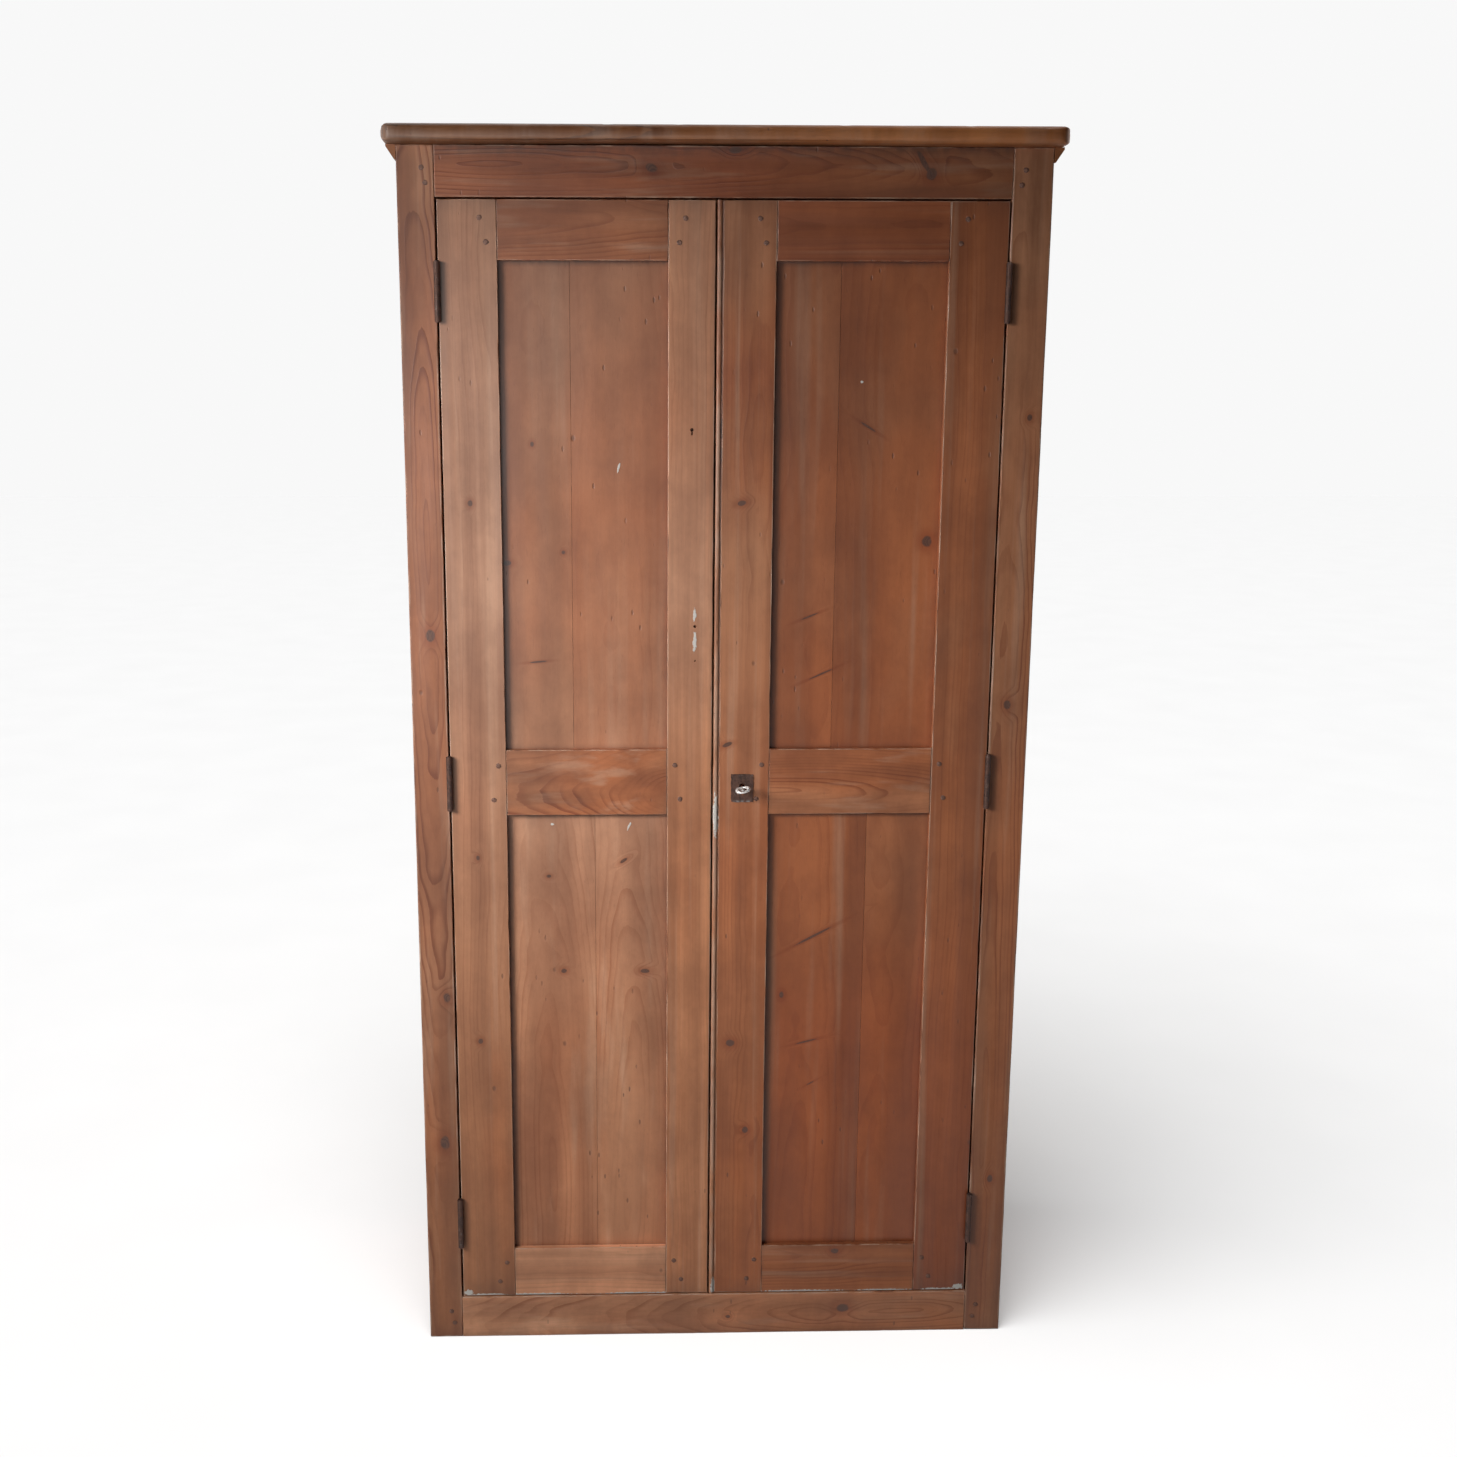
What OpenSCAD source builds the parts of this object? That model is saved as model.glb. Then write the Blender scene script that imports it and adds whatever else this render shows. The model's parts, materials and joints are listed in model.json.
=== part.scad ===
// Two-door panelled pine armoire: face frame, plank case, cornice, pegged doors, butt hinges, bolts and rim lock.
// Millimetres, +Z up, the doors face -Y. The origin is on the floor, at the centre of the whole object's plan.

/* [Case] */
// Width across the face frame
case_w = 950; // [920:10:1050]
// Depth from the front of the face frame to the back of the planks
case_d = 440; // [400:10:520]
// Height with the cornice
total_h = 1910; // [1850:10:1980]
// Thickness of the boards of the face frame
frame_t = 26; // [25:0.5:30]
// Width of the left stile of the face frame
frame_stile_left_w = 54; // [50:1:64]
// Width of the right stile of the face frame
frame_stile_right_w = 59; // [50:1:64]
// Height of the bottom rail of the face frame
frame_bottom_h = 72; // [68:1:84]
// Height of the top rail of the face frame
frame_top_h = 72; // [66:1:84]
// Thickness of the side planks
side_t = 20; // [18:1:24]
// Thickness of the back planks
back_t = 12; // [12:1:16]

/* [Cornice] */
// Thickness of the cornice board
cornice_t = 27; // [24:1:32]
// Overhang of the cornice board in front and at the sides
cornice_over = 20; // [16:1:26]
// Height of the moulding under each side overhang
moulding_h = 21; // [16:1:28]

/* [Doors] */
// Gap round each door and between the two
door_gap = 2.5; // [2.2:0.1:3]
// Centre of the gap between the doors, left or right of the middle of the case
meeting_x = -13.5; // [-20:0.5:0]
// Width of the stiles on the hinge side
hinge_stile_w = 86; // [80:1:92]
// Width of the left door's stile on the meeting side
left_meeting_w = 69; // [66:1:80]
// Width of the right door's stile on the meeting side, without its bead
right_meeting_w = 78; // [76:1:86]
// Width of the bead on the right door's meeting edge
bead_w = 9; // [8:0.5:11]
// Height of the doors' top rails
door_top_h = 85; // [78:1:92]
// Height of the doors' middle rails
door_mid_h = 104; // [98:1:110]
// Height of the doors' bottom rails
door_bottom_h = 84; // [78:1:92]
// Height of the lower edge of the doors' middle rails above the floor
mid_rail_z = 893; // [880:1:910]
// Thickness of the panels
panel_t = 8; // [7:0.5:9]
// Depth of the panels behind the face of the door
panel_recess = 9; // [8:0.5:9.5]

/* [Hinges] */
// Length of each butt hinge
hinge_h = 84; // [76:2:96]
// Radius of the hinge knuckles
knuckle_r = 4.5; // [4:0.1:4.6]
// Thickness of the hinge leaves
leaf_t = 1.5; // [1.2:0.1:2]
// Width of the hinge leaves behind the face
leaf_w = 22; // [20:0.5:24]

/* [Interior] */
// Height of the top of the hat shelf
shelf_z = 1563; // [1500:1:1600]
// Thickness of the shelf and of the floor board
board_t = 18; // [16:1:20]
// Distance of the shelf's front edge behind the face frame
shelf_setback = 60; // [50:5:100]
// Radius of the hanging rod
rod_r = 13; // [12:0.5:15]

/* [Lock and bolts] */
// Height of the key above the floor
key_z = 935; // [925:1:945]
// Distance of the key from the right door's meeting edge
lock_backset = 45; // [43:0.5:45.5]
// Sideways travel of the lock bolt
lock_throw = 18; // [16:0.5:18]
// How far the key stands out of the door
key_reach = 32; // [30:1:38]
// Tilt of the key's bow from level, in degrees
key_tilt = 12; // [0:1:15]
// Radius of the barrel bolts' rods
bolt_r = 4; // [3.5:0.1:4.2]

/* [Hidden] */
$fn = 48;

// Colours
pine = [0.62, 0.42, 0.30];
pine_dark = [0.50, 0.32, 0.22];
pine_pale = [0.70, 0.53, 0.38];
peg_brown = [0.36, 0.24, 0.18];
iron = [0.30, 0.25, 0.22];
key_steel = [0.72, 0.72, 0.70];

// Case
face_y = (key_reach - case_d) / 2;
back_y = face_y + case_d;
frame_back_y = face_y + frame_t;
plank_back_y = back_y - back_t;
half_w = case_w / 2;
inner_x = half_w - side_t;
case_top = total_h - cornice_t;
open_left = -half_w + frame_stile_left_w;
open_right = half_w - frame_stile_right_w;
open_bottom = frame_bottom_h;
open_top = case_top - frame_top_h;
floor_top = open_bottom - 4;
cleat_h = 30;
cleat_t = 22;

// Doors. They are a little thinner than the frame, so that they clear the stop behind it.
door_t = frame_t - 0.5;
door_back_y = face_y + door_t;
door_bottom = open_bottom + door_gap;
door_top = open_top - door_gap;
left_x0 = open_left + door_gap;
left_x1 = meeting_x - door_gap / 2;
right_x0 = meeting_x + door_gap / 2;
right_x1 = open_right - door_gap;
left_pane_x0 = left_x0 + hinge_stile_w;
left_pane_x1 = left_x1 - left_meeting_w;
right_stile_x0 = right_x0 + bead_w;
right_pane_x0 = right_stile_x0 + right_meeting_w;
right_pane_x1 = right_x1 - hinge_stile_w;
top_rail_z = door_top - door_top_h;
bottom_rail_top = door_bottom + door_bottom_h;
mid_rail_top = mid_rail_z + door_mid_h;

// Joinery. Tenons, panels and grooves share one layer inside the boards.
groove_d = 9;
tenon_l = 34;
tenon_shoulder = 10;
peg_r = 3.8;
fit = 0.05;
eps = 1;
peg_pitch = [34, 54, 34];
peg_insets = [[25, 16], [12, 20], [13, 25]];
frame_peg_pitch = 21;
frame_peg_insets = [18, 13];

// Hinges
hinge_zs = [207, 945, 1679];
pin_proud = 5;
pin_y = face_y - pin_proud;
pin_r = 2.2;
pin_head_r = 3.2;
knuckle_count = 5;
knuckle_gap = 0.3;
screw_r = 1.9;
screw_head_r = 3.8;
screw_l = 22;
screw_in = 12;
screw_zs = [-30, 0, 30];

// Barrel bolts on the left door
bolt_x = left_x1 - 34;
bolt_y = door_back_y + 8.5;
bolt_l = 100;
bolt_plate_w = 26;
bolt_plate_t = 2;
bolt_plate_h = 104;
guide_h = 10;
stop_drop = 14;
stop_h = 46;
stop_t = 20;

// Rim lock on the right door
key_x = right_x0 + lock_backset;
key_r = 2.75;
drill_pin_r = 1.2;
case_wall = 1.5;
lock_case_w = 65;
lock_case_h = 80;
lock_case_d = 16;
lock_x0 = right_x0 + 1.5;
lock_bolt_h = 13;
lock_bolt_t = 8;
lock_bolt_z = key_z + 4.5;
bit_l = 9.5;
bit_t = 2.5;
bit_d = 6;
keyhole_r = 4.5;
keyhole_h = 22;
keyhole_slot_w = 5;
lock_bolt_y = door_back_y + 4.5;
keeper_x = left_x1 - 12.5;
keeper_w = 7;

// A board given by two opposite corners
module board(lo, hi) {
    translate(lo) cube([hi[0] - lo[0], hi[1] - lo[1], hi[2] - lo[2]]);
}

// A bar through the tenon and groove layer of the frame or of a door
module layer(x0, x1, z0, z1) {
    board([x0, face_y + panel_recess, z0], [x1, face_y + panel_recess + panel_t, z1]);
}

// Cylinders along Y from the face of the frame to a depth, one for each [x, z]
module face_rounds(places, r, depth, overrun = 0) {
    for (p = places)
        translate([p[0], face_y - overrun, p[1]])
            rotate([-90, 0, 0]) cylinder(r = r, h = depth + 2 * overrun);
}

// Places of the two pegs of one joint: edge is the joint line, dir points into the stile
function peg_pair(edge, dir, z, pitch, insets) =
    [[edge + dir * insets[0], z + pitch / 2], [edge + dir * insets[1], z - pitch / 2]];

// Pegs along one stile of a door, at the three rails
function stile_pegs(edge, dir) = concat(
    peg_pair(edge, dir, (top_rail_z + door_top) / 2, peg_pitch[0], peg_insets[0]),
    peg_pair(edge, dir, (mid_rail_z + mid_rail_top) / 2, peg_pitch[1], peg_insets[1]),
    peg_pair(edge, dir, (door_bottom + bottom_rail_top) / 2, peg_pitch[2], peg_insets[2]));

// Pegs along one stile of the face frame, at its two rails
function frame_stile_pegs(edge, dir) = concat(
    peg_pair(edge, dir, (open_top + case_top) / 2 - 6, frame_peg_pitch, frame_peg_insets),
    peg_pair(edge, dir, open_bottom / 2, frame_peg_pitch, frame_peg_insets));

/* Case */

// Plan of the cornice board, with rounded front corners
module cornice_plan() {
    nose_y = face_y - cornice_over;
    end_x = half_w + cornice_over;
    corner = 8;
    translate([-end_x, nose_y + corner]) square([2 * end_x, back_y - nose_y - corner]);
    translate([-end_x + corner, nose_y]) square([2 * (end_x - corner), corner + eps]);
    for (s = [-1, 1])
        translate([s * (end_x - corner), nose_y + corner]) circle(r = corner);
}

// Section of the cornice board's edge: u runs inward from the nose, v up. The lower edge is eased.
module cornice_edge(depth) {
    ease = 6;
    polygon([[0, ease], [ease * 0.7, 0], [depth, 0], [depth, cornice_t], [ease, cornice_t], [0, cornice_t - ease]]);
    translate([ease, cornice_t - ease]) circle(r = ease);
}

module cornice_board() {
    nose_y = face_y - cornice_over;
    end_x = half_w + cornice_over;
    color(pine_pale)
    intersection() {
        translate([0, 0, case_top]) linear_extrude(cornice_t) cornice_plan();
        translate([end_x + eps, nose_y, case_top])
            rotate([90, 0, -90]) mirror([1, 0, 0]) linear_extrude(2 * (end_x + eps))
                cornice_edge(back_y - nose_y);
        translate([-end_x, back_y + eps, case_top])
            rotate([90, 0, 0]) linear_extrude(back_y - nose_y + 2 * eps)
                union() {
                    cornice_edge(end_x + eps);
                    translate([2 * end_x, 0]) mirror([1, 0]) cornice_edge(end_x + eps);
                }
    }
}

// A small hollow moulding that fills the angle between the side of the case and the overhang
module side_moulding() {
    width = cornice_over * 0.7;
    color(pine)
    translate([half_w, back_y, case_top])
        rotate([90, 0, 0]) linear_extrude(case_d)
            difference() {
                polygon([[0, 0], [0, -moulding_h], [2, -moulding_h], [width, -3], [width, 0]]);
                translate([width + 6, -moulding_h - 1]) circle(r = moulding_h * 0.62);
            }
}

module cornice_moulding_right() {
    side_moulding();
}

module cornice_moulding_left() {
    mirror([1, 0, 0]) side_moulding();
}

// Pocket for a frame leaf and its screws, cut into a stile. dir is +1 where the stile lies right of the pin.
module hinge_pockets(pin_x, dir) {
    for (z = hinge_zs) {
        x0 = pin_x + dir * (door_gap / 2 - eps);
        x1 = pin_x + dir * (door_gap / 2 + leaf_t);
        board([min(x0, x1), face_y - eps, z - hinge_h / 2], [max(x0, x1), face_y + leaf_w, z + hinge_h / 2]);
        for (dz = screw_zs)
            translate([pin_x + dir * door_gap / 2, face_y + screw_in, z + dz])
                rotate([0, dir * 90, 0]) cylinder(r = screw_r + fit, h = screw_l + fit);
    }
}

module frame_stile_left() {
    color(pine)
    difference() {
        board([-half_w, face_y, 0], [open_left, frame_back_y, case_top]);
        layer(open_left - tenon_l, open_left + eps, open_top + tenon_shoulder, case_top - tenon_shoulder);
        layer(open_left - tenon_l, open_left + eps, tenon_shoulder, open_bottom - tenon_shoulder);
        hinge_pockets(open_left + door_gap / 2, -1);
        face_rounds(frame_stile_pegs(open_left, -1), peg_r + fit, frame_t, eps);
    }
}

module frame_stile_right() {
    color(pine_dark)
    difference() {
        board([open_right, face_y, 0], [half_w, frame_back_y, case_top]);
        layer(open_right - eps, open_right + tenon_l, open_top + tenon_shoulder, case_top - tenon_shoulder);
        layer(open_right - eps, open_right + tenon_l, tenon_shoulder, open_bottom - tenon_shoulder);
        hinge_pockets(open_right - door_gap / 2, 1);
        face_rounds(frame_stile_pegs(open_right, 1), peg_r + fit, frame_t, eps);
    }
}

module frame_rail(z0, z1) {
    color(pine)
    difference() {
        union() {
            board([open_left, face_y, z0], [open_right, frame_back_y, z1]);
            layer(open_left - tenon_l, open_right + tenon_l, z0 + tenon_shoulder, z1 - tenon_shoulder);
        }
        face_rounds(frame_stile_pegs(open_left, -1), peg_r + fit, frame_t, eps);
        face_rounds(frame_stile_pegs(open_right, 1), peg_r + fit, frame_t, eps);
    }
}

module frame_rail_top() {
    frame_rail(open_top, case_top);
}

module frame_rail_bottom() {
    frame_rail(0, open_bottom);
}

// Pegs of the face frame
module frame_pegs() {
    color(peg_brown) {
        face_rounds(frame_stile_pegs(open_left, -1), peg_r, frame_t);
        face_rounds(frame_stile_pegs(open_right, 1), peg_r, frame_t);
    }
}

// Side planks meet with a tongue and groove
tongue_d = 7;
tongue_t = 6;
side_mid_y = (frame_back_y + plank_back_y) / 2;

module side_front_plank() {
    color(pine) {
        board([inner_x, frame_back_y, 0], [half_w, side_mid_y, case_top]);
        board([half_w - side_t / 2 - tongue_t / 2, side_mid_y - eps, 0],
              [half_w - side_t / 2 + tongue_t / 2, side_mid_y + tongue_d, case_top]);
    }
}

module side_rear_plank() {
    color(pine_dark)
    difference() {
        board([inner_x, side_mid_y, 0], [half_w, plank_back_y, case_top]);
        board([half_w - side_t / 2 - tongue_t / 2, side_mid_y - eps, -eps],
              [half_w - side_t / 2 + tongue_t / 2, side_mid_y + tongue_d, case_top + eps]);
    }
}

module side_plank_right_front() {
    side_front_plank();
}

module side_plank_right_rear() {
    side_rear_plank();
}

module side_plank_left_front() {
    mirror([1, 0, 0]) side_front_plank();
}

module side_plank_left_rear() {
    mirror([1, 0, 0]) side_rear_plank();
}

// Back planks overlap in half laps and stop a little above the floor
back_count = 4;
back_lift = 8;
lap = 8;

module back_plank(i) {
    w = case_w / back_count;
    x0 = -half_w + i * w;
    color(i % 2 == 0 ? pine : pine_dark) {
        board([x0, plank_back_y, back_lift], [x0 + w, plank_back_y + back_t / 2, case_top]);
        board([x0 + (i == 0 ? 0 : lap), plank_back_y + back_t / 2 - eps, back_lift],
              [x0 + w, back_y, case_top]);
        if (i < back_count - 1)
            board([x0 + w - eps, plank_back_y + back_t / 2, back_lift], [x0 + w + lap, back_y, case_top]);
    }
}

module floor_board() {
    color(pine_pale)
    difference() {
        board([-inner_x, frame_back_y, floor_top - board_t], [inner_x, plank_back_y, floor_top]);
        translate([bolt_x, bolt_y, floor_top - board_t - eps]) cylinder(r = bolt_r + 0.3, h = board_t + 2 * eps);
    }
}

module hat_shelf() {
    color(pine_pale)
    board([-inner_x, frame_back_y + shelf_setback, shelf_z - board_t], [inner_x, plank_back_y, shelf_z]);
}

// A cleat under the right end of a board whose underside is at z
module cleat(z, front) {
    color(pine_dark)
    board([inner_x - cleat_t, front, z - cleat_h], [inner_x, plank_back_y, z]);
}

module floor_cleat_right() {
    cleat(floor_top - board_t, frame_back_y);
}

module floor_cleat_left() {
    mirror([1, 0, 0]) cleat(floor_top - board_t, frame_back_y);
}

module shelf_cleat_right() {
    cleat(shelf_z - board_t, frame_back_y + shelf_setback);
}

module shelf_cleat_left() {
    mirror([1, 0, 0]) cleat(shelf_z - board_t, frame_back_y + shelf_setback);
}

// Hanging rod and its two sockets
rod_y = (frame_back_y + plank_back_y) / 2;
rod_z = shelf_z - board_t - 75;
socket_t = 20;
socket_w = 70;
socket_h = 80;
rod_in = 15;

module rod_socket() {
    color(pine_dark)
    difference() {
        board([inner_x - socket_t, rod_y - socket_w / 2, rod_z - socket_h / 2],
              [inner_x, rod_y + socket_w / 2, rod_z + socket_h / 2]);
        translate([inner_x - socket_t - eps, rod_y, rod_z])
            rotate([0, 90, 0]) cylinder(r = rod_r + fit, h = rod_in + eps);
    }
}

module rod_socket_right() {
    rod_socket();
}

module rod_socket_left() {
    mirror([1, 0, 0]) rod_socket();
}

module hanging_rod() {
    half_l = inner_x - socket_t + rod_in;
    color(pine_pale)
    translate([-half_l, rod_y, rod_z]) rotate([0, 90, 0]) cylinder(r = rod_r, h = 2 * half_l);
}

// Strip behind the top rail that the doors close against, with the hole for the top bolt
module door_stop() {
    color(pine_dark)
    difference() {
        board([open_left, frame_back_y, open_top - stop_drop], [open_right, frame_back_y + stop_t, open_top - stop_drop + stop_h]);
        translate([bolt_x, bolt_y, open_top - stop_drop - eps]) cylinder(r = bolt_r + 0.3, h = 22 + eps);
    }
}

/* Hinges: local frame on the pin axis, the stile with this leaf lies towards +X */

knuckle_step = hinge_h / knuckle_count;

// One leaf with its own knuckles: first is 0 for the frame's three knuckles or 1 for the door's two
module leaf(first) {
    difference() {
        union() {
            board([door_gap / 2, pin_proud, -hinge_h / 2], [door_gap / 2 + leaf_t, pin_proud + leaf_w, hinge_h / 2]);
            for (i = [first : 2 : knuckle_count - 1]) {
                z0 = -hinge_h / 2 + i * knuckle_step + (i == 0 ? 0 : knuckle_gap / 2);
                z1 = -hinge_h / 2 + (i + 1) * knuckle_step - (i == knuckle_count - 1 ? 0 : knuckle_gap / 2);
                translate([0, 0, z0]) cylinder(r = knuckle_r, h = z1 - z0);
                board([door_gap / 2, 0, z0], [door_gap / 2 + leaf_t, pin_proud + eps, z1]);
            }
        }
        translate([0, 0, -hinge_h / 2 - eps]) cylinder(r = pin_r + fit, h = hinge_h + 2 * eps);
        for (z = screw_zs)
            translate([door_gap / 2, pin_proud + screw_in, z]) rotate([0, 90, 0]) screw_shape(fit);
    }
}

// Countersunk screw along +Z, head flush at the origin; grow widens it into its hole
module screw_shape(grow = 0) {
    cylinder(r1 = screw_head_r + grow, r2 = screw_r + grow, h = leaf_t);
    cylinder(r = screw_r + grow, h = screw_l);
}

module leaf_screws() {
    for (z = screw_zs)
        translate([door_gap / 2, pin_proud + screw_in, z]) rotate([0, 90, 0]) screw_shape();
}

// Puts its children at the three hinges of one side; flip turns them to the other side of the pin
module at_hinges(pin_x, flip) {
    for (z = hinge_zs)
        translate([pin_x, pin_y, z])
            if (flip) mirror([1, 0, 0]) children();
            else children();
}

left_pin_x = open_left + door_gap / 2;
right_pin_x = open_right - door_gap / 2;

module frame_hinge_leaves() {
    color(iron) {
        at_hinges(left_pin_x, true) leaf(0);
        at_hinges(right_pin_x, false) leaf(0);
    }
}

module frame_screws() {
    color(iron) {
        at_hinges(left_pin_x, true) leaf_screws();
        at_hinges(right_pin_x, false) leaf_screws();
    }
}

module hinge_pins() {
    head_h = 1.5;
    color(iron)
    for (x = [left_pin_x, right_pin_x])
        at_hinges(x, false) {
            translate([0, 0, -hinge_h / 2]) cylinder(r = pin_r, h = hinge_h);
            translate([0, 0, hinge_h / 2]) cylinder(r = pin_head_r, h = head_h);
            translate([0, 0, -hinge_h / 2 - head_h]) cylinder(r = pin_head_r, h = head_h);
        }
}

module left_door_hinge_leaves() {
    color(iron) at_hinges(left_pin_x, false) leaf(1);
}

module right_door_hinge_leaves() {
    color(iron) at_hinges(right_pin_x, true) leaf(1);
}

module left_door_screws() {
    color(iron) at_hinges(left_pin_x, false) leaf_screws();
}

module right_door_screws() {
    color(iron) at_hinges(right_pin_x, true) leaf_screws();
}

/* Doors */

// A stile from x0 to x1 with grooves and mortises on the edge at pane_x; dir points from there into the stile
module door_stile(x0, x1, pane_x, dir) {
    deep_x = pane_x + dir * tenon_l;
    groove_x = pane_x + dir * groove_d;
    open_x = pane_x - dir * eps;
    difference() {
        board([x0, face_y, door_bottom], [x1, door_back_y, door_top]);
        layer(min(open_x, groove_x), max(open_x, groove_x), bottom_rail_top - groove_d, mid_rail_z + groove_d);
        layer(min(open_x, groove_x), max(open_x, groove_x), mid_rail_top - groove_d, top_rail_z + groove_d);
        layer(min(open_x, deep_x), max(open_x, deep_x), top_rail_z + groove_d, door_top - tenon_shoulder);
        layer(min(open_x, deep_x), max(open_x, deep_x), mid_rail_z + groove_d, mid_rail_top - groove_d);
        layer(min(open_x, deep_x), max(open_x, deep_x), door_bottom + tenon_shoulder, bottom_rail_top - groove_d);
        face_rounds(stile_pegs(pane_x, dir), peg_r + fit, door_t, eps);
    }
}

// A rail between two stiles. low and high say how deep the grooves on its lower and upper edges are.
module door_rail(x0, x1, z0, z1, low, high) {
    tenon_z0 = z0 + (low > 0 ? groove_d : tenon_shoulder);
    tenon_z1 = z1 - (high > 0 ? groove_d : tenon_shoulder);
    difference() {
        union() {
            board([x0, face_y, z0], [x1, door_back_y, z1]);
            layer(x0 - tenon_l, x1 + tenon_l, tenon_z0, tenon_z1);
        }
        if (low > 0) layer(x0 - eps, x1 + eps, z0 - eps, z0 + low);
        if (high > 0) layer(x0 - eps, x1 + eps, z1 - high, z1 + eps);
        face_rounds(stile_pegs(x0, -1), peg_r + fit, door_t, eps);
        face_rounds(stile_pegs(x1, 1), peg_r + fit, door_t, eps);
    }
}

module door_pegs(x0, x1) {
    face_rounds(stile_pegs(x0, -1), peg_r, door_t);
    face_rounds(stile_pegs(x1, 1), peg_r, door_t);
}

module panel(x0, x1, z0, z1) {
    layer(x0 - groove_d, x1 + groove_d, z0 - groove_d, z1 + groove_d);
}

module left_door_hinge_stile() {
    color(pine)
    difference() {
        door_stile(left_x0, left_pane_x0, left_pane_x0, -1);
        hinge_pockets(left_pin_x, 1);
    }
}

module left_door_meeting_stile() {
    color(pine) door_stile(left_pane_x1, left_x1, left_pane_x1, 1);
}

module left_door_top_rail() {
    color(pine) door_rail(left_pane_x0, left_pane_x1, top_rail_z, door_top, groove_d, 0);
}

module left_door_mid_rail() {
    color(pine_pale) door_rail(left_pane_x0, left_pane_x1, mid_rail_z, mid_rail_top, groove_d, groove_d);
}

module left_door_bottom_rail() {
    color(pine) door_rail(left_pane_x0, left_pane_x1, door_bottom, bottom_rail_top, 0, groove_d);
}

module left_door_upper_panel() {
    color(pine_pale) panel(left_pane_x0, left_pane_x1, mid_rail_top, top_rail_z);
}

module left_door_lower_panel() {
    color(pine_pale) panel(left_pane_x0, left_pane_x1, bottom_rail_top, mid_rail_z);
}

module left_door_pegs() {
    color(peg_brown) door_pegs(left_pane_x0, left_pane_x1);
}

module right_door_hinge_stile() {
    color(pine_dark)
    difference() {
        door_stile(right_pane_x1, right_x1, right_pane_x1, 1);
        hinge_pockets(right_pin_x, -1);
    }
}

// Outline of the keyhole in the XZ plane, drawn round the key
module keyhole(grow = 0) {
    circle(r = keyhole_r + grow);
    square([keyhole_slot_w + 2 * grow, keyhole_h + 2 * grow], center = true);
}

// The keyhole cut along Y between two depths
module keyhole_cut(y0, y1, grow = 0) {
    translate([key_x, y1, key_z]) rotate([90, 0, 0]) linear_extrude(y1 - y0) keyhole(grow);
}

module right_door_meeting_stile() {
    color(pine)
    difference() {
        door_stile(right_stile_x0, right_pane_x0, right_pane_x0, -1);
        keyhole_cut(face_y - eps, door_back_y + eps, 0.2);
    }
}

module right_door_top_rail() {
    color(pine_dark) door_rail(right_pane_x0, right_pane_x1, top_rail_z, door_top, groove_d, 0);
}

module right_door_mid_rail() {
    color(pine) door_rail(right_pane_x0, right_pane_x1, mid_rail_z, mid_rail_top, groove_d, groove_d);
}

module right_door_bottom_rail() {
    color(pine) door_rail(right_pane_x0, right_pane_x1, door_bottom, bottom_rail_top, 0, groove_d);
}

module right_door_upper_panel() {
    color(pine_dark) panel(right_pane_x0, right_pane_x1, mid_rail_top, top_rail_z);
}

module right_door_lower_panel() {
    color(pine) panel(right_pane_x0, right_pane_x1, bottom_rail_top, mid_rail_z);
}

module right_door_pegs() {
    color(peg_brown) door_pegs(right_pane_x0, right_pane_x1);
}

// Round-nosed strip on the meeting edge of the right door, with a quirk beside its bead
module meeting_bead() {
    bead_r = 3.5;
    color(pine_pale)
    translate([right_x0, face_y, door_bottom]) {
        board([0, 0, 0], [bead_w, door_t, door_top - door_bottom]);
        translate([bead_r, 0, 0]) cylinder(r = bead_r, h = door_top - door_bottom);
    }
}

/* Barrel bolts on the inner face of the left door */

bolt_top_z = open_top - stop_drop - 5;
bolt_bottom_z = door_bottom + 3.5;
knob_l = 14;

// Plate and two guides of one bolt; the rod rises from z = 0
module bolt_guide_set() {
    plate_z = 2;
    difference() {
        union() {
            board([-bolt_plate_w / 2, door_back_y - bolt_y, -plate_z - bolt_plate_h],
                  [bolt_plate_w / 2, door_back_y - bolt_y + bolt_plate_t, -plate_z]);
            for (z = [-plate_z - bolt_plate_h + 6, -plate_z - 6 - guide_h])
                board([-bolt_r - 4, door_back_y - bolt_y + 1, z], [bolt_r + 4, bolt_r + 3, z + guide_h]);
        }
        translate([0, 0, -plate_z - bolt_plate_h]) cylinder(r = bolt_r + 2 * fit, h = bolt_plate_h);
    }
}

// Rod with its knob; the tip is at z = 0
module bolt_rod() {
    translate([0, 0, -bolt_l]) cylinder(r = bolt_r, h = bolt_l);
    translate([0, 0, -bolt_l / 2 - 8]) rotate([-90, 0, 0]) {
        cylinder(r = 2.5, h = knob_l);
        translate([0, 0, knob_l - 1]) cylinder(r = 4.5, h = 4);
    }
}

module at_top_bolt() {
    translate([bolt_x, bolt_y, bolt_top_z]) children();
}

module at_bottom_bolt() {
    translate([bolt_x, bolt_y, bolt_bottom_z]) mirror([0, 0, 1]) children();
}

module bolt_guides() {
    color(iron) {
        at_top_bolt() bolt_guide_set();
        at_bottom_bolt() bolt_guide_set();
    }
}

module top_bolt() {
    color(iron) at_top_bolt() bolt_rod();
}

module bottom_bolt() {
    color(iron) at_bottom_bolt() bolt_rod();
}

/* Rim lock */

// Iron plate round the keyhole on the face of the door
module lock_plate() {
    plate_w = 35;
    plate_h = 45;
    plate_t = 1.2;
    color(iron)
    difference() {
        board([key_x - plate_w / 2, face_y - plate_t, key_z - plate_h / 2],
              [key_x + plate_w / 2, face_y, key_z + plate_h / 2]);
        keyhole_cut(face_y - plate_t - eps, face_y + eps);
    }
}

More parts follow.
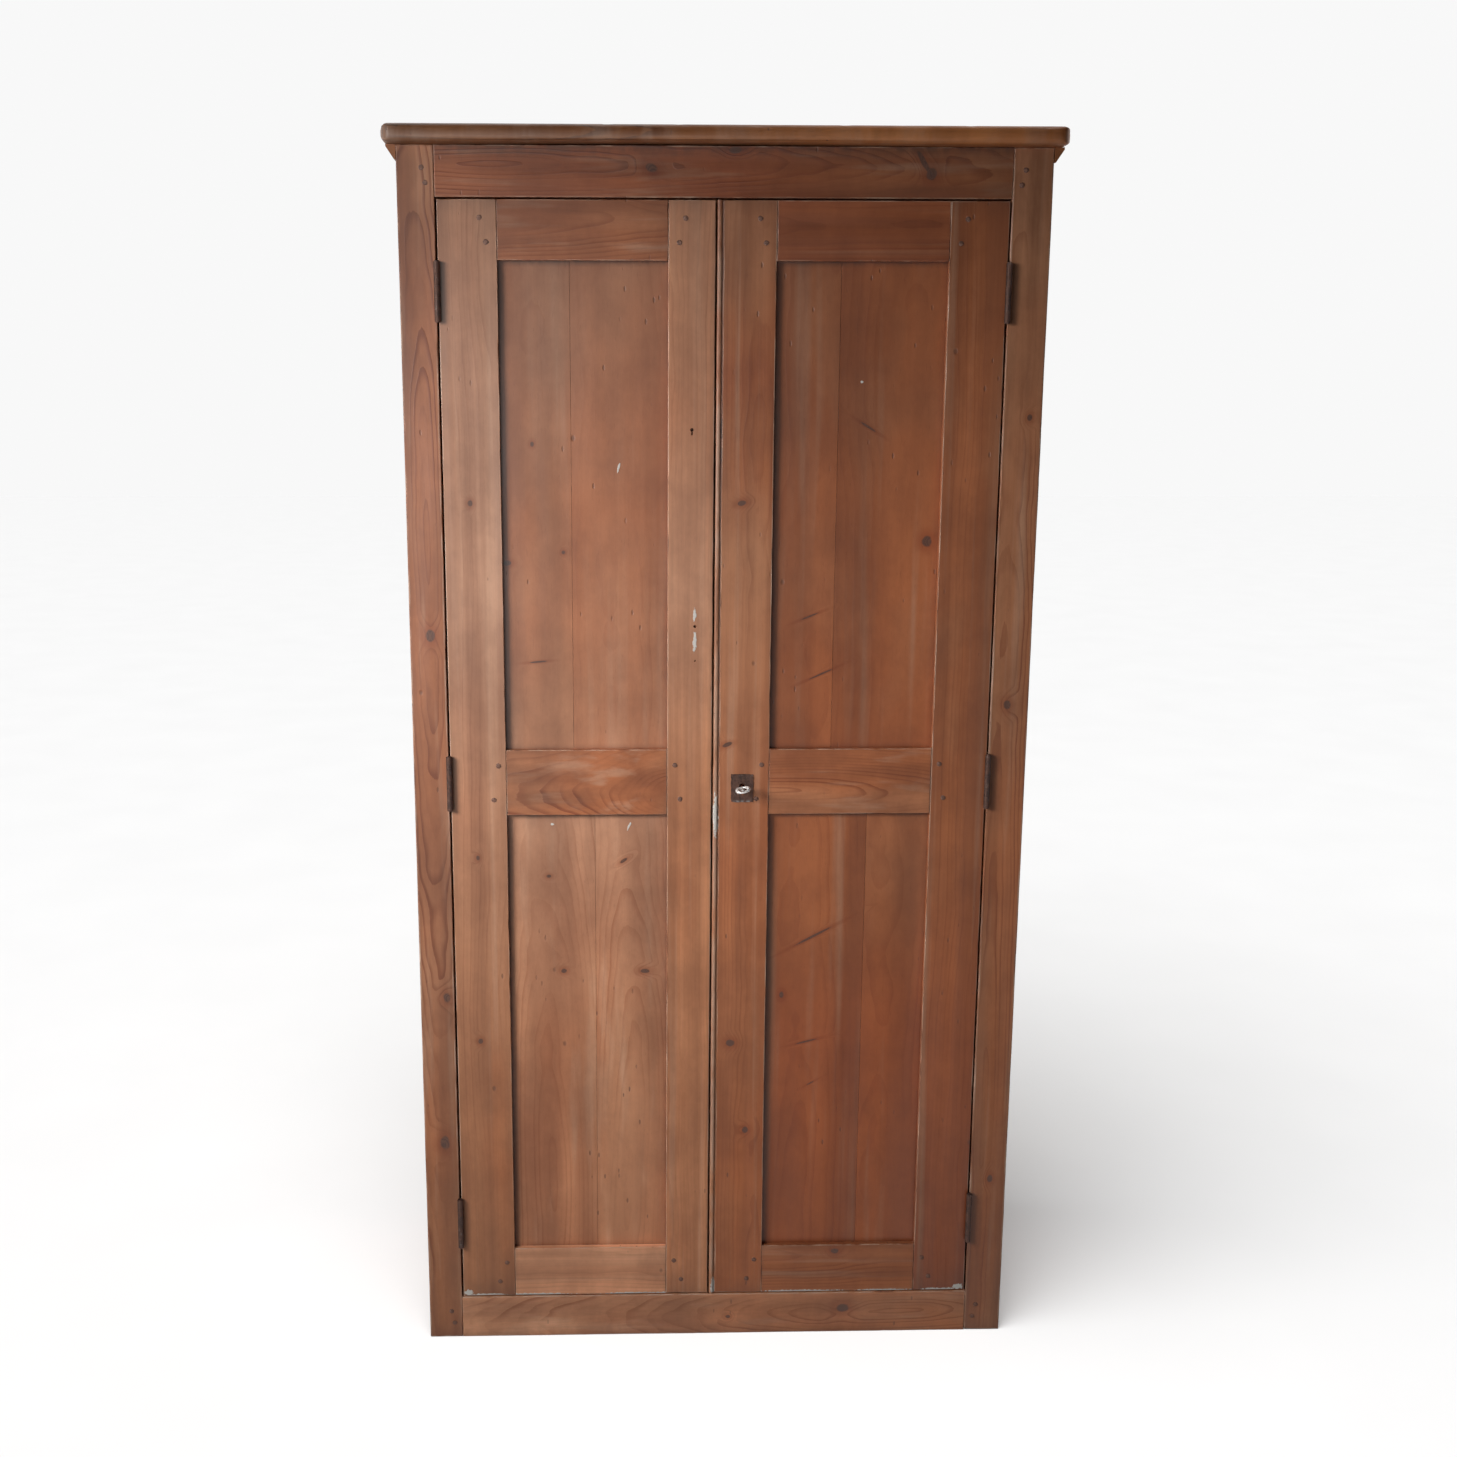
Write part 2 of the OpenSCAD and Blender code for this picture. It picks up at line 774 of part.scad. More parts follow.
// Hollow case on the inner face, open for the bolt and the key, with the post that the key turns on
module lock_case() {
    z0 = key_z - lock_case_h / 2;
    z1 = key_z + lock_case_h / 2;
    x1 = lock_x0 + lock_case_w;
    y1 = door_back_y + lock_case_d;
    slot = 0.2;
    guide = 3;
    color(iron)
    difference() {
        union() {
            difference() {
                board([lock_x0, door_back_y, z0], [x1, y1, z1]);
                board([lock_x0 + case_wall, door_back_y + case_wall, z0 + case_wall],
                      [x1 - case_wall, y1 - case_wall, z1 - case_wall]);
            }
            board([lock_x0 + case_wall - 0.5, lock_bolt_y, lock_bolt_z + lock_bolt_h + slot],
                  [x1 - case_wall + 0.5, y1 - 0.5, lock_bolt_z + lock_bolt_h + slot + guide]);
            board([lock_x0 + case_wall - 0.5, lock_bolt_y, lock_bolt_z - slot - guide],
                  [lock_x0 + case_wall + 8, y1 - 0.5, lock_bolt_z - slot]);
            translate([key_x, y1 - case_wall + 0.5, key_z])
                rotate([90, 0, 0]) cylinder(r = drill_pin_r, h = 10);
        }
        board([lock_x0 - eps, lock_bolt_y - slot, lock_bolt_z - slot],
              [lock_x0 + case_wall + eps, lock_bolt_y + lock_bolt_t + slot, lock_bolt_z + lock_bolt_h + slot]);
        keyhole_cut(door_back_y - eps, door_back_y + case_wall + eps);
    }
}

// Bolt bar with a notch that the key's bit sweeps through; shown drawn back
module lock_bolt() {
    notch_w = 16;
    mid_x = key_x + lock_throw / 2;
    color(iron)
    difference() {
        board([lock_x0 + 0.3, lock_bolt_y, lock_bolt_z],
              [lock_x0 + lock_case_w - case_wall - 0.5, lock_bolt_y + lock_bolt_t, lock_bolt_z + lock_bolt_h]);
        board([mid_x - notch_w / 2, lock_bolt_y - eps, lock_bolt_z - eps],
              [mid_x + notch_w / 2, lock_bolt_y + lock_bolt_t + eps, key_z + bit_l + 1]);
    }
}

// Barrel key: ring bow, hollow shank and bit, turned a quarter from its way in
module key() {
    bow_w = 25;
    bow_d = 19;
    bow_t = 3.2;
    ring = 4.2;
    tip_y = door_back_y + lock_case_d - case_wall - 1;
    color(key_steel)
    translate([key_x, 0, key_z]) rotate([0, -key_tilt, 0])
    difference() {
        union() {
            translate([0, face_y - key_reach + bow_d / 2, -bow_t / 2])
                linear_extrude(bow_t)
                    difference() {
                        for (s = [-1, 1])
                            translate([s * (bow_w - bow_d) / 2, 0]) circle(d = bow_d);
                        for (s = [-1, 1])
                            translate([s * (bow_w - bow_d) / 2, 0]) circle(d = bow_d - 2 * ring);
                    }
            translate([0, tip_y, 0]) rotate([90, 0, 0]) cylinder(r = key_r, h = tip_y - face_y + key_reach - bow_d + 2);
            translate([0, face_y - key_reach + bow_d + 3.5, 0]) rotate([90, 0, 0]) cylinder(r = 4, h = 2.5);
            board([0, lock_bolt_y + 1, -bit_t / 2], [bit_l, lock_bolt_y + 1 + bit_d, bit_t / 2]);
        }
        translate([0, tip_y + eps, 0]) rotate([90, 0, 0]) cylinder(r = drill_pin_r + fit, h = 12);
    }
}

// Staple on the left door that the lock bolt enters
module lock_keeper() {
    clear = 0.8;
    post = 4;
    z0 = lock_bolt_z - clear;
    z1 = lock_bolt_z + lock_bolt_h + clear;
    color(iron)
    difference() {
        union() {
            board([keeper_x - 8, door_back_y, z0 - 18], [keeper_x + keeper_w, door_back_y + 2, z1 + 18]);
            board([keeper_x, door_back_y, z0 - post], [keeper_x + keeper_w, lock_bolt_y + lock_bolt_t + clear + 2.5, z1 + post]);
        }
        board([keeper_x - eps, lock_bolt_y - clear, z0], [keeper_x + keeper_w + eps, lock_bolt_y + lock_bolt_t + clear, z1]);
    }
}

cornice_board();
cornice_moulding_left();
cornice_moulding_right();
frame_stile_left();
frame_stile_right();
frame_rail_top();
frame_rail_bottom();
side_plank_left_front();
side_plank_left_rear();
side_plank_right_front();
side_plank_right_rear();
back_plank(0);  // back_plank_1
back_plank(1);  // back_plank_2
back_plank(2);  // back_plank_3
back_plank(3);  // back_plank_4
floor_board();
floor_cleat_left();
floor_cleat_right();
hat_shelf();
shelf_cleat_left();
shelf_cleat_right();
hanging_rod();
rod_socket_left();
rod_socket_right();
door_stop();
frame_pegs();
frame_hinge_leaves();
hinge_pins();
frame_screws();
left_door_hinge_stile();
left_door_meeting_stile();
left_door_top_rail();
left_door_mid_rail();
left_door_bottom_rail();
left_door_upper_panel();
left_door_lower_panel();
left_door_pegs();
left_door_hinge_leaves();
left_door_screws();
bolt_guides();
lock_keeper();
top_bolt();
bottom_bolt();
right_door_hinge_stile();
right_door_meeting_stile();
right_door_top_rail();
right_door_mid_rail();
right_door_bottom_rail();
right_door_upper_panel();
right_door_lower_panel();
right_door_pegs();
right_door_hinge_leaves();
right_door_screws();
meeting_bead();
lock_plate();
lock_case();
lock_bolt();
key();
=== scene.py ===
"""Two-door pine armoire: worn boards, pegs, bead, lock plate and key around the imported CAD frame.

Metres, +Z up, the front facing -Y. Small parts are placed in millimetres of the part's own frame.
"""
import json
import math

import bmesh
import bpy
import numpy as np
from mathutils import Matrix, Vector


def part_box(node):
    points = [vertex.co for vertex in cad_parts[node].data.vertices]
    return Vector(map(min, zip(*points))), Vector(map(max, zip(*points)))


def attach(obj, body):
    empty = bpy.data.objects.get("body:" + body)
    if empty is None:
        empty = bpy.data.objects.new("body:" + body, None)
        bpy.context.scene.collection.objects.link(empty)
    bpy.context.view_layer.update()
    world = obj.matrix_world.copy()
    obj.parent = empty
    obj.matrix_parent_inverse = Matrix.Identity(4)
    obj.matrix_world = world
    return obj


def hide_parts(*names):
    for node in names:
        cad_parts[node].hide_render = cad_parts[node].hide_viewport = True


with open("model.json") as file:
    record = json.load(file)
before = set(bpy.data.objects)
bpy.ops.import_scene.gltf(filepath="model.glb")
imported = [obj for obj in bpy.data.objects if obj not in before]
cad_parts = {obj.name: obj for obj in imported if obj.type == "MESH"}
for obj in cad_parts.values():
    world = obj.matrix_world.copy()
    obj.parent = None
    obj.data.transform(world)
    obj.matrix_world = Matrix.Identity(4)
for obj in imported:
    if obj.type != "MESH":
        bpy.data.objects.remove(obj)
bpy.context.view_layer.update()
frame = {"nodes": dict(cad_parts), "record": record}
MM = 0.001
BESIDES_FLOOR = bpy.data.collections.new("besides_floor")
X, Y, Z = 0, 1, 2
FACE_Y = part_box("frame_stile_left")[0].y
KEY_LO, KEY_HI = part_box("key")
PLATE_LO, PLATE_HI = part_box("lock_plate")
KEYHOLE_X = (KEY_LO.x + KEY_HI.x) / 2
KEYHOLE_RISE = 3 * MM
BOLT_RADIUS = 4 * MM
BEAD_PROUD = 0.55


# ---- shader helpers

class Net:
    """Short calls that add linked shader nodes to one material."""

    def __init__(self, name):
        self.material = bpy.data.materials.new(name)
        self.material.use_nodes = True
        self.tree = self.material.node_tree
        self.shader = self.tree.nodes["Principled BSDF"]

    def new(self, kind):
        return self.tree.nodes.new("ShaderNode" + kind)

    def feed(self, socket, value):
        if isinstance(value, bpy.types.NodeSocket):
            self.tree.links.new(value, socket)
        else:
            socket.default_value = value

    def attribute(self, name, output="Vector"):
        node = self.new("Attribute")
        node.attribute_name = name
        return node.outputs[output]

    def place(self):
        return self.new("TexCoord").outputs["Object"]

    def math(self, operation, a, b=0.0, c=0.0, clamp=False):
        node = self.new("Math")
        node.operation = operation
        node.use_clamp = clamp
        for socket, value in zip(node.inputs, (a, b, c)):
            self.feed(socket, value)
        return node.outputs[0]

    def times(self, a, b, clamp=False):
        return self.math("MULTIPLY", a, b, clamp=clamp)

    def plus(self, a, b, clamp=False):
        return self.math("ADD", a, b, clamp=clamp)

    def less(self, a, b, clamp=False):
        return self.math("SUBTRACT", a, b, clamp=clamp)

    def most(self, a, b):
        return self.math("MAXIMUM", a, b)

    def pushed(self, base, noise, amount):
        """base moved up or down by a noise from 0 to 1."""
        return self.math("MULTIPLY_ADD", self.less(noise, 0.5), amount, base)

    def vector(self, operation, a, b=(0.0, 0.0, 0.0)):
        node = self.new("VectorMath")
        node.operation = operation
        self.feed(node.inputs[0], a)
        if operation != "LENGTH":
            self.feed(node.inputs[1], b)
        return node.outputs["Value" if operation == "LENGTH" else "Vector"]

    def split(self, vector):
        node = self.new("SeparateXYZ")
        self.feed(node.inputs[0], vector)
        return node.outputs

    def join(self, x, y, z):
        node = self.new("CombineXYZ")
        for socket, value in zip(node.inputs, (x, y, z)):
            self.feed(socket, value)
        return node.outputs[0]

    def noise(self, vector, stretch, detail=2.0, rough=0.5):
        """Noise from 0 to 1; stretch gives its frequency along each axis."""
        node = self.new("TexNoise")
        self.feed(node.inputs["Vector"], self.vector("MULTIPLY", vector, stretch))
        node.inputs["Scale"].default_value = 1.0
        node.inputs["Detail"].default_value = detail
        node.inputs["Roughness"].default_value = rough
        return node.outputs["Fac"]

    def spots(self, vector, stretch):
        """Distance to the nearest of scattered points."""
        node = self.new("TexVoronoi")
        self.feed(node.inputs["Vector"], self.vector("MULTIPLY", vector, stretch))
        node.inputs["Scale"].default_value = 1.0
        return node.outputs["Distance"]

    def chance(self, value):
        """A number from 0 to 1 that is different for every value."""
        node = self.new("TexWhiteNoise")
        node.noise_dimensions = "1D"
        self.feed(node.inputs["W"], value)
        return node.outputs["Value"]

    def step(self, value, low, high, out_low=0.0, out_high=1.0):
        """Smooth step from out_low to out_high as value goes from low to high."""
        node = self.new("MapRange")
        node.interpolation_type = "SMOOTHSTEP"
        for socket, v in zip(node.inputs, (value, low, high, out_low, out_high)):
            self.feed(socket, v)
        return node.outputs[0]

    def mix(self, factor, a, b, blend="MIX"):
        """Colour a turning to colour b as factor goes from 0 to 1."""
        node = self.new("Mix")
        node.data_type = "RGBA"
        node.blend_type = blend
        self.feed(node.inputs[0], factor)
        for socket, value in ((node.inputs[6], a), (node.inputs[7], b)):
            self.feed(socket, (*value, 1.0) if isinstance(value, tuple) else value)
        return node.outputs[2]

    def shaded(self, colour, tint):
        return self.mix(1.0, colour, tint, "MULTIPLY")

    def shifted(self, vector, by):
        return self.vector("ADD", vector, by)

    def bump(self, height, distance, strength=1.0, normal=None):
        node = self.new("Bump")
        node.inputs["Strength"].default_value = strength
        node.inputs["Distance"].default_value = distance
        self.feed(node.inputs["Height"], height)
        if normal is not None:
            self.feed(node.inputs["Normal"], normal)
        return node.outputs[0]

    def finish(self, colour, roughness, normal, metallic=0.0):
        self.feed(self.shader.inputs["Base Color"], colour)
        self.feed(self.shader.inputs["Roughness"], roughness)
        self.feed(self.shader.inputs["Normal"], normal)
        self.feed(self.shader.inputs["Metallic"], metallic)
        return self.material


# ---- materials

KNOTS = ("knot_1", "knot_2", "knot_3", "knot_4")
PATCHES = ("patch_1", "patch_2")
RING_WIDTH = 5.6 * MM
# Grey faded tint: faded wood, and partly a painted sheen on the left-hand boards
FADE_AND_SHEEN = (0.47, 0.255, 0.158)
BLOOM = (0.56, 0.315, 0.20)
WHITE_LIME = (0.82, 0.78, 0.72)
FAR_OFF = 9.0


def pine_net(name, run):
    """A net that knows its board's grain and tone, or axis number run where boards don't store them."""
    n = Net(name)
    n.marked = run is None
    n.here = n.place()
    if n.marked:
        n.grain = n.attribute("grain")
        n.light, n.red, n.strength = n.split(n.attribute("tone"))
    else:
        at = n.split(n.place())
        n.grain = n.join(at[run], n.plus(at[(run + 1) % 3], 0.012), n.plus(at[(run + 2) % 3], 0.045))
        n.light, n.red, n.strength = 0.0, 0.1, 0.6
    n.fibre = n.noise(n.grain, (9.0, 420.0, 420.0), 3.0, 0.6)
    n.blotch = n.noise(n.here, (9.0, 9.0, 6.0), 5.0, 0.65)
    n.radius = pith_distance(n)
    n.knot_dark, n.knot_halo = knot_marks(n)
    n.rings = late_wood(n)
    return n


def pith_distance(n):
    """Distance from a pith that wanders along the board."""
    _, across, depth = n.split(n.grain)
    sway = n.noise(n.grain, (1.1, 4.0, 4.0), 2.0, 0.55)
    lean = n.noise(n.shifted(n.grain, (7.3, 1.7, 4.1)), (3.2, 7.0, 7.0), 3.0, 0.6)
    sideways = n.pushed(across, sway, 0.060)
    inward = n.pushed(depth, lean, 0.036)
    radius = n.vector("LENGTH", n.join(sideways, inward, 0.0))
    return n.math("MULTIPLY_ADD", n.fibre, 0.0010, radius)


def knot_marks(n):
    """Darkness and halo of the knots, which push the rings aside."""
    dark, halo = 0.0, 0.0
    for attribute in KNOTS if n.marked else ():
        wobble = n.noise(n.grain, (70.0, 70.0, 70.0), 2.0, 0.6)
        away = n.pushed(n.vector("LENGTH", n.attribute(attribute)), wobble, 0.55)
        n.radius = n.plus(n.radius, n.step(away, 0.0, 4.5, 0.013, 0.0))
        dark = n.most(n.step(away, 0.72, 1.12, 1.0, 0.0), dark)
        halo = n.most(n.step(away, 0.8, 3.0, 1.0, 0.0), halo)
    return dark, halo


def late_wood(n):
    """The dark part of each ring, stronger in some rings and places than in others."""
    phase = n.math("DIVIDE", n.radius, RING_WIDTH)
    saw = n.math("FRACT", phase)
    late = n.times(n.step(saw, 0.45, 0.93), n.step(saw, 0.95, 1.0, 1.0, 0.0))
    vary = n.chance(n.math("FLOOR", phase))
    late = n.times(late, n.step(vary, 0.0, 1.0, 0.15, 1.0))
    patchy = n.step(n.noise(n.grain, (1.9, 14.0, 14.0), 2.0), 0.34, 0.66, 0.12, 1.0)
    return n.times(late, n.times(n.strength, patchy), clamp=True)


def wood_colour(n, pale, orange, line):
    """Broad pale and orange bands, greyed by a red value below 0 (faded wood and, on the left-hand boards, a
    painted sheen) and deepened by one above 1, with the rings' lines.
    """
    broad = n.noise(n.grain, (0.7, 11.0, 11.0), 2.0, 0.5)
    cloud = n.noise(n.here, (3.6, 3.6, 2.4), 3.0, 0.55)
    warmth = n.plus(n.times(broad, 0.5), n.times(cloud, 0.5))
    redder = n.most(n.red, 0.0)
    warmth = n.plus(n.step(warmth, 0.40, 0.60), n.less(redder, 0.3), clamp=True)
    fade_and_sheen = n.times(n.red, -1.0, clamp=True)
    # Greyed towards the faded tint: faded wood, and a painted sheen where the left-hand boards catch the
    # glare
    colour = n.mix(fade_and_sheen, n.mix(warmth, pale, orange), FADE_AND_SHEEN)
    deep = n.less(redder, 1.0, clamp=True)
    colour = n.mix(deep, colour, n.shaded(colour, (0.94, 0.62, 0.50)))
    return n.mix(n.rings, colour, n.shaded(colour, line))


def streaked(n, colour, streaks, bloomy):
    """Soft bands, fine streaks, pores and blotches of old wax."""
    bands = n.noise(n.shifted(n.grain, (3.1, 9.2, 5.5)), (0.6, 26.0, 26.0), 1.0, 0.5)
    shade = n.step(bands, 0.32, 0.68, 0.80, 1.16)
    bloom = n.noise(n.shifted(n.grain, (6.7, 2.3, 8.8)), (1.1, 48.0, 48.0), 3.0, 0.55)
    colour = n.mix(n.step(bloom, 0.52, 0.74, 0.0, bloomy), colour, BLOOM)
    streak = n.noise(n.grain, (2.2, 120.0, 120.0), 4.0, 0.62)
    shade = n.times(shade, n.step(streak, 0.25, 0.75, 1 - 0.09 * streaks, 1 + 0.07 * streaks))
    shade = n.times(shade, n.step(n.blotch, 0.28, 0.72, 0.78, 1.17))
    pores = n.step(n.noise(n.grain, (55.0, 1500.0, 1500.0), 2.0, 0.7), 0.60, 0.74, 1.0, 0.84)
    shade = n.times(shade, pores)
    tinted = n.join(shade, n.math("POWER", shade, 1.14), n.math("POWER", shade, 1.22))
    lit = n.plus(n.light, 1.0)
    return n.shaded(colour, n.vector("MULTIPLY", tinted, n.join(lit, lit, lit)))


def knotted(n, colour):
    """Knots with a warm halo."""
    colour = n.mix(n.times(n.knot_halo, 0.65), colour, n.shaded(colour, (0.72, 0.52, 0.42)))
    fine_rings = n.math("SINE", n.times(n.radius, 5200.0))
    heart = n.mix(n.step(fine_rings, -1.0, 1.0), (0.060, 0.028, 0.020), (0.12, 0.052, 0.032))
    return n.mix(n.times(n.knot_dark, 0.9), colour, heart)


def dents(n):
    """Scattered small dents, and nicks in the darker blotches."""
    dent = n.step(n.spots(n.here, (13.0, 13.0, 9.0)), 0.02, 0.055, 1.0, 0.0)
    nick = n.spots(n.shifted(n.here, (1.3, 0.0, 4.4)), (60.0, 60.0, 22.0))
    nick = n.times(n.step(nick, 0.06, 0.12, 1.0, 0.0), n.step(n.blotch, 0.50, 0.60))
    return n.most(dent, nick)


def soiled(n, colour, dent, grime_and_shade_scale):
    """Dirt in the dents; grime and painted shade along the listed sides; some arrises pale from wear and
    painted highlight, others gone dark.
    """
    colour = n.mix(n.times(dent, 0.55), colour, (0.09, 0.040, 0.027))
    smear = n.noise(n.here, (60.0, 60.0, 30.0), 3.0, 0.65)
    dirt = n.times(n.attribute("dirt", "Fac"), n.step(smear, 0.2, 0.62, 0.45, 1.0))
    # Near-black along the listed sides: grime, and painted shade in recesses and under overhangs
    colour = n.mix(n.times(dirt, 0.80 * grime_and_shade_scale, clamp=True), colour, (0.040, 0.020, 0.015))
    rubbed = n.noise(n.here, (30.0, 30.0, 12.0), 3.0, 0.6)
    edge = n.attribute("edge", "Fac")
    pale = n.times(edge, n.step(rubbed, 0.36, 0.62))
    # Pale arrises: rubbed wear, and painted highlights on the listed arrises that catch the light
    colour = n.mix(n.times(pale, 0.75, clamp=True), colour, (0.66, 0.44, 0.32))
    dark = n.times(edge, n.step(rubbed, 0.28, 0.44, 1.0, 0.0))
    return n.mix(n.times(dark, 0.70, clamp=True), colour, (0.07, 0.032, 0.024))


def flakes(n):
    """Flakes of white lime and filler."""
    crumbs = n.noise(n.here, (210.0, 210.0, 120.0), 4.0, 0.7)
    white = 0.0
    for attribute in PATCHES if n.marked else ():
        reach = n.pushed(n.vector("LENGTH", n.attribute(attribute)), crumbs, 2.4)
        white = n.most(n.step(reach, 0.75, 1.0, 1.0, 0.0), white)
    return white


def relief(n, dent, white):
    """Bump of the rings, fibres, dents and flakes, and of the board's soft waves."""
    height = n.math("MULTIPLY_ADD", n.rings, 0.5, n.times(n.fibre, 0.35))
    height = n.less(height, n.times(dent, 1.6))
    height = n.math("MULTIPLY_ADD", white, 1.2, height)
    return n.bump(n.blotch, 0.0012, 0.35, n.bump(height, 0.00035, 0.7))


def pine(name, pale, orange, line, sheen=0.46, grime_and_shade_scale=1.0, streaks=1.0, bloomy=0.45, run=None):
    """Pine of pale and orange wood with tinted ring lines; sheen is its roughness."""
    n = pine_net(name, run)
    dent, white = dents(n), flakes(n)
    colour = knotted(n, streaked(n, wood_colour(n, pale, orange, line), streaks, bloomy))
    colour = soiled(n, colour, dent, grime_and_shade_scale)
    colour = n.mix(n.times(white, 0.95), colour, WHITE_LIME)
    waxy = n.noise(n.grain, (1.6, 30.0, 30.0), 3.0, 0.6)
    rough = n.step(waxy, 0.25, 0.8, sheen - 0.07, sheen + 0.12)
    rough = n.most(rough, n.times(white, 0.85))
    return n.finish(colour, rough, relief(n, dent, white))


def iron():
    n = Net("old_iron")
    place = n.place()
    cloud = n.noise(place, (90.0, 90.0, 60.0), 5.0, 0.68)
    grit = n.noise(place, (900.0, 900.0, 900.0), 3.0, 0.7)
    colour = n.mix(n.step(cloud, 0.38, 0.66), (0.046, 0.028, 0.024), (0.120, 0.054, 0.036))
    colour = n.mix(n.times(n.step(grit, 0.52, 0.72), 0.55), colour, (0.20, 0.088, 0.045))
    scuffed = n.step(n.noise(place, (260.0, 260.0, 160.0), 3.0, 0.6), 0.60, 0.70)
    colour = n.mix(n.times(scuffed, 0.35), colour, (0.21, 0.19, 0.18))
    # Pale where the edge value is set: bare metal, and on the lock plate's lower edge a painted highlight
    colour = n.mix(n.attribute("edge", "Fac"), colour, (0.34, 0.31, 0.29))
    rough = n.step(cloud, 0.3, 0.7, 0.42, 0.78)
    metallic = n.step(cloud, 0.40, 0.64, 0.70, 0.25)
    normal = n.bump(n.math("MULTIPLY_ADD", grit, 0.35, cloud), 0.0006, 0.8)
    return n.finish(colour, rough, normal, metallic)


def bright_steel():
    n = Net("key_steel")
    place = n.place()
    smudge = n.noise(place, (160.0, 160.0, 160.0), 4.0, 0.65)
    scratch = n.noise(place, (1400.0, 220.0, 1400.0), 2.0, 0.6)
    # Near-white steel, brightened to stand in for the key's glints: a painted highlight over the whole key
    colour = n.mix(n.step(smudge, 0.52, 0.72), (0.97, 0.96, 0.94), (0.62, 0.56, 0.51))
    rough = n.step(n.math("MULTIPLY_ADD", scratch, 0.4, smudge), 0.45, 1.0, 0.24, 0.42)
    return n.finish(colour, rough, n.bump(scratch, 0.0001, 0.5), 0.35)


def peg_wood():
    n = Net("peg_end_grain")
    place = n.place()
    rings = n.noise(place, (900.0, 200.0, 900.0), 3.0, 0.6)
    colour = n.mix(n.step(rings, 0.35, 0.7), (0.14, 0.066, 0.045), (0.30, 0.145, 0.095))
    rough = n.step(rings, 0.3, 0.7, 0.5, 0.75)
    return n.finish(colour, rough, n.bump(rings, 0.0004, 0.8))


# Pale wood, orange wood and the tint of the ring lines
WAXED_WOOD = ((0.45, 0.184, 0.086), (0.42, 0.132, 0.048), (0.60, 0.46, 0.38))
PANEL_WOOD = ((0.44, 0.174, 0.080), (0.42, 0.124, 0.042), (0.70, 0.56, 0.48))
CORNICE_WOOD = ((0.41, 0.147, 0.045), (0.28, 0.094, 0.028), (0.46, 0.40, 0.36))
RAW_WOOD = ((0.47, 0.280, 0.155), (0.43, 0.210, 0.100), (0.60, 0.46, 0.38))
WAXED = pine("pine_waxed", *WAXED_WOOD)
PANEL = pine("pine_panel", *PANEL_WOOD, streaks=0.5)
CORNICE = pine("pine_cornice", *CORNICE_WOOD, sheen=0.52, bloomy=0.15)
RAW = pine("pine_raw", *RAW_WOOD, sheen=0.62, grime_and_shade_scale=0.8)
RAW_X = pine("pine_raw_x", *RAW_WOOD, sheen=0.62, run=X)
CORNICE_Y = pine("pine_cornice_y", *CORNICE_WOOD, bloomy=0.15, run=Y)
IRON = iron()
STEEL = bright_steel()
PEG = peg_wood()


# ---- mesh helpers

def ripple(points, seed, wavelength, octaves=4):
    """Smooth noise between about -1 and 1 at many points, as a sum of seeded waves."""
    rng = np.random.default_rng(seed)
    total = np.zeros(len(points))
    for octave in range(octaves):
        for _ in range(3):
            direction = rng.normal(size=3)
            direction *= 2 * math.pi / (wavelength / 1.7 ** octave) / np.linalg.norm(direction)
            total += np.sin(points @ direction + rng.uniform(0, 2 * math.pi)) / 1.5 ** octave
    return total / 4.2


def grid_lines(length, radius, cell, bands):
    """Places along one side of a board: close together at its worn ends, then cells."""
    near = [share * radius for share in (0.0, 0.18, 0.45, 0.8, 1.3, 2.0)]
    near += [b for b in bands if b > 2.5 * radius]
    near = [x for x in near if x < 0.45 * length]
    start = near[-1]
    count = max(1, round((length - 2 * start) / cell))
    middle = [start + (length - 2 * start) * i / count for i in range(1, count)]
    return np.array(near + middle + [length - x for x in reversed(near)])


def box_grid(lines):
    """Points and quads of the surface of a box cut by three lists of grid lines."""
    counts = [len(line) for line in lines]
    index = {}
    points = []
    quads = []

    def corner(i, j, k):
        if (i, j, k) not in index:
            index[i, j, k] = len(points)
            points.append((lines[0][i], lines[1][j], lines[2][k]))
        return index[i, j, k]

    for axis in range(3):
        u, v = (axis + 1) % 3, (axis + 2) % 3
        for end in (0, counts[axis] - 1):
            for a in range(counts[u] - 1):
                for b in range(counts[v] - 1):
                    ring = []
                    for da, db in ((0, 0), (1, 0), (1, 1), (0, 1)):
                        at = [0, 0, 0]
                        at[axis], at[u], at[v] = end, a + da, b + db
                        ring.append(corner(*at))
                    quads.append(ring if end else ring[::-1])
    return np.array(points, float), quads


def in_scene(obj):
    bpy.context.scene.collection.objects.link(obj)


def object_from(name, points, faces, material, smooth=True):
    """A new object in the scene from points and faces."""
    mesh = bpy.data.meshes.new(name)
    mesh.from_pydata([tuple(p) for p in points], [], faces)
    mesh.materials.append(material)
    mesh.shade_smooth() if smooth else mesh.shade_flat()
    obj = bpy.data.objects.new(name, mesh)
    in_scene(obj)
    return obj


def solid(name, points, faces, material, smooth=True):
    """An object whose faces are all turned outward."""
    obj = object_from(name, points, faces, material, smooth)
    mesh = bmesh.new()
    mesh.from_mesh(obj.data)
    bmesh.ops.recalc_face_normals(mesh, faces=mesh.faces)
    mesh.to_mesh(obj.data)
    mesh.free()
    return obj


def ring_faces(rings, count, closed_ends=True):
    """Quads between rings of count points each, with end caps."""
    faces = []
    for k in range(rings - 1):
        low, high = k * count, (k + 1) * count
        faces += [(low + i, low + (i + 1) % count, high + (i + 1) % count, high + i) for i in range(count)]
    if closed_ends:
        faces += [list(range(count))[::-1], [(rings - 1) * count + i for i in range(count)]]
    return faces


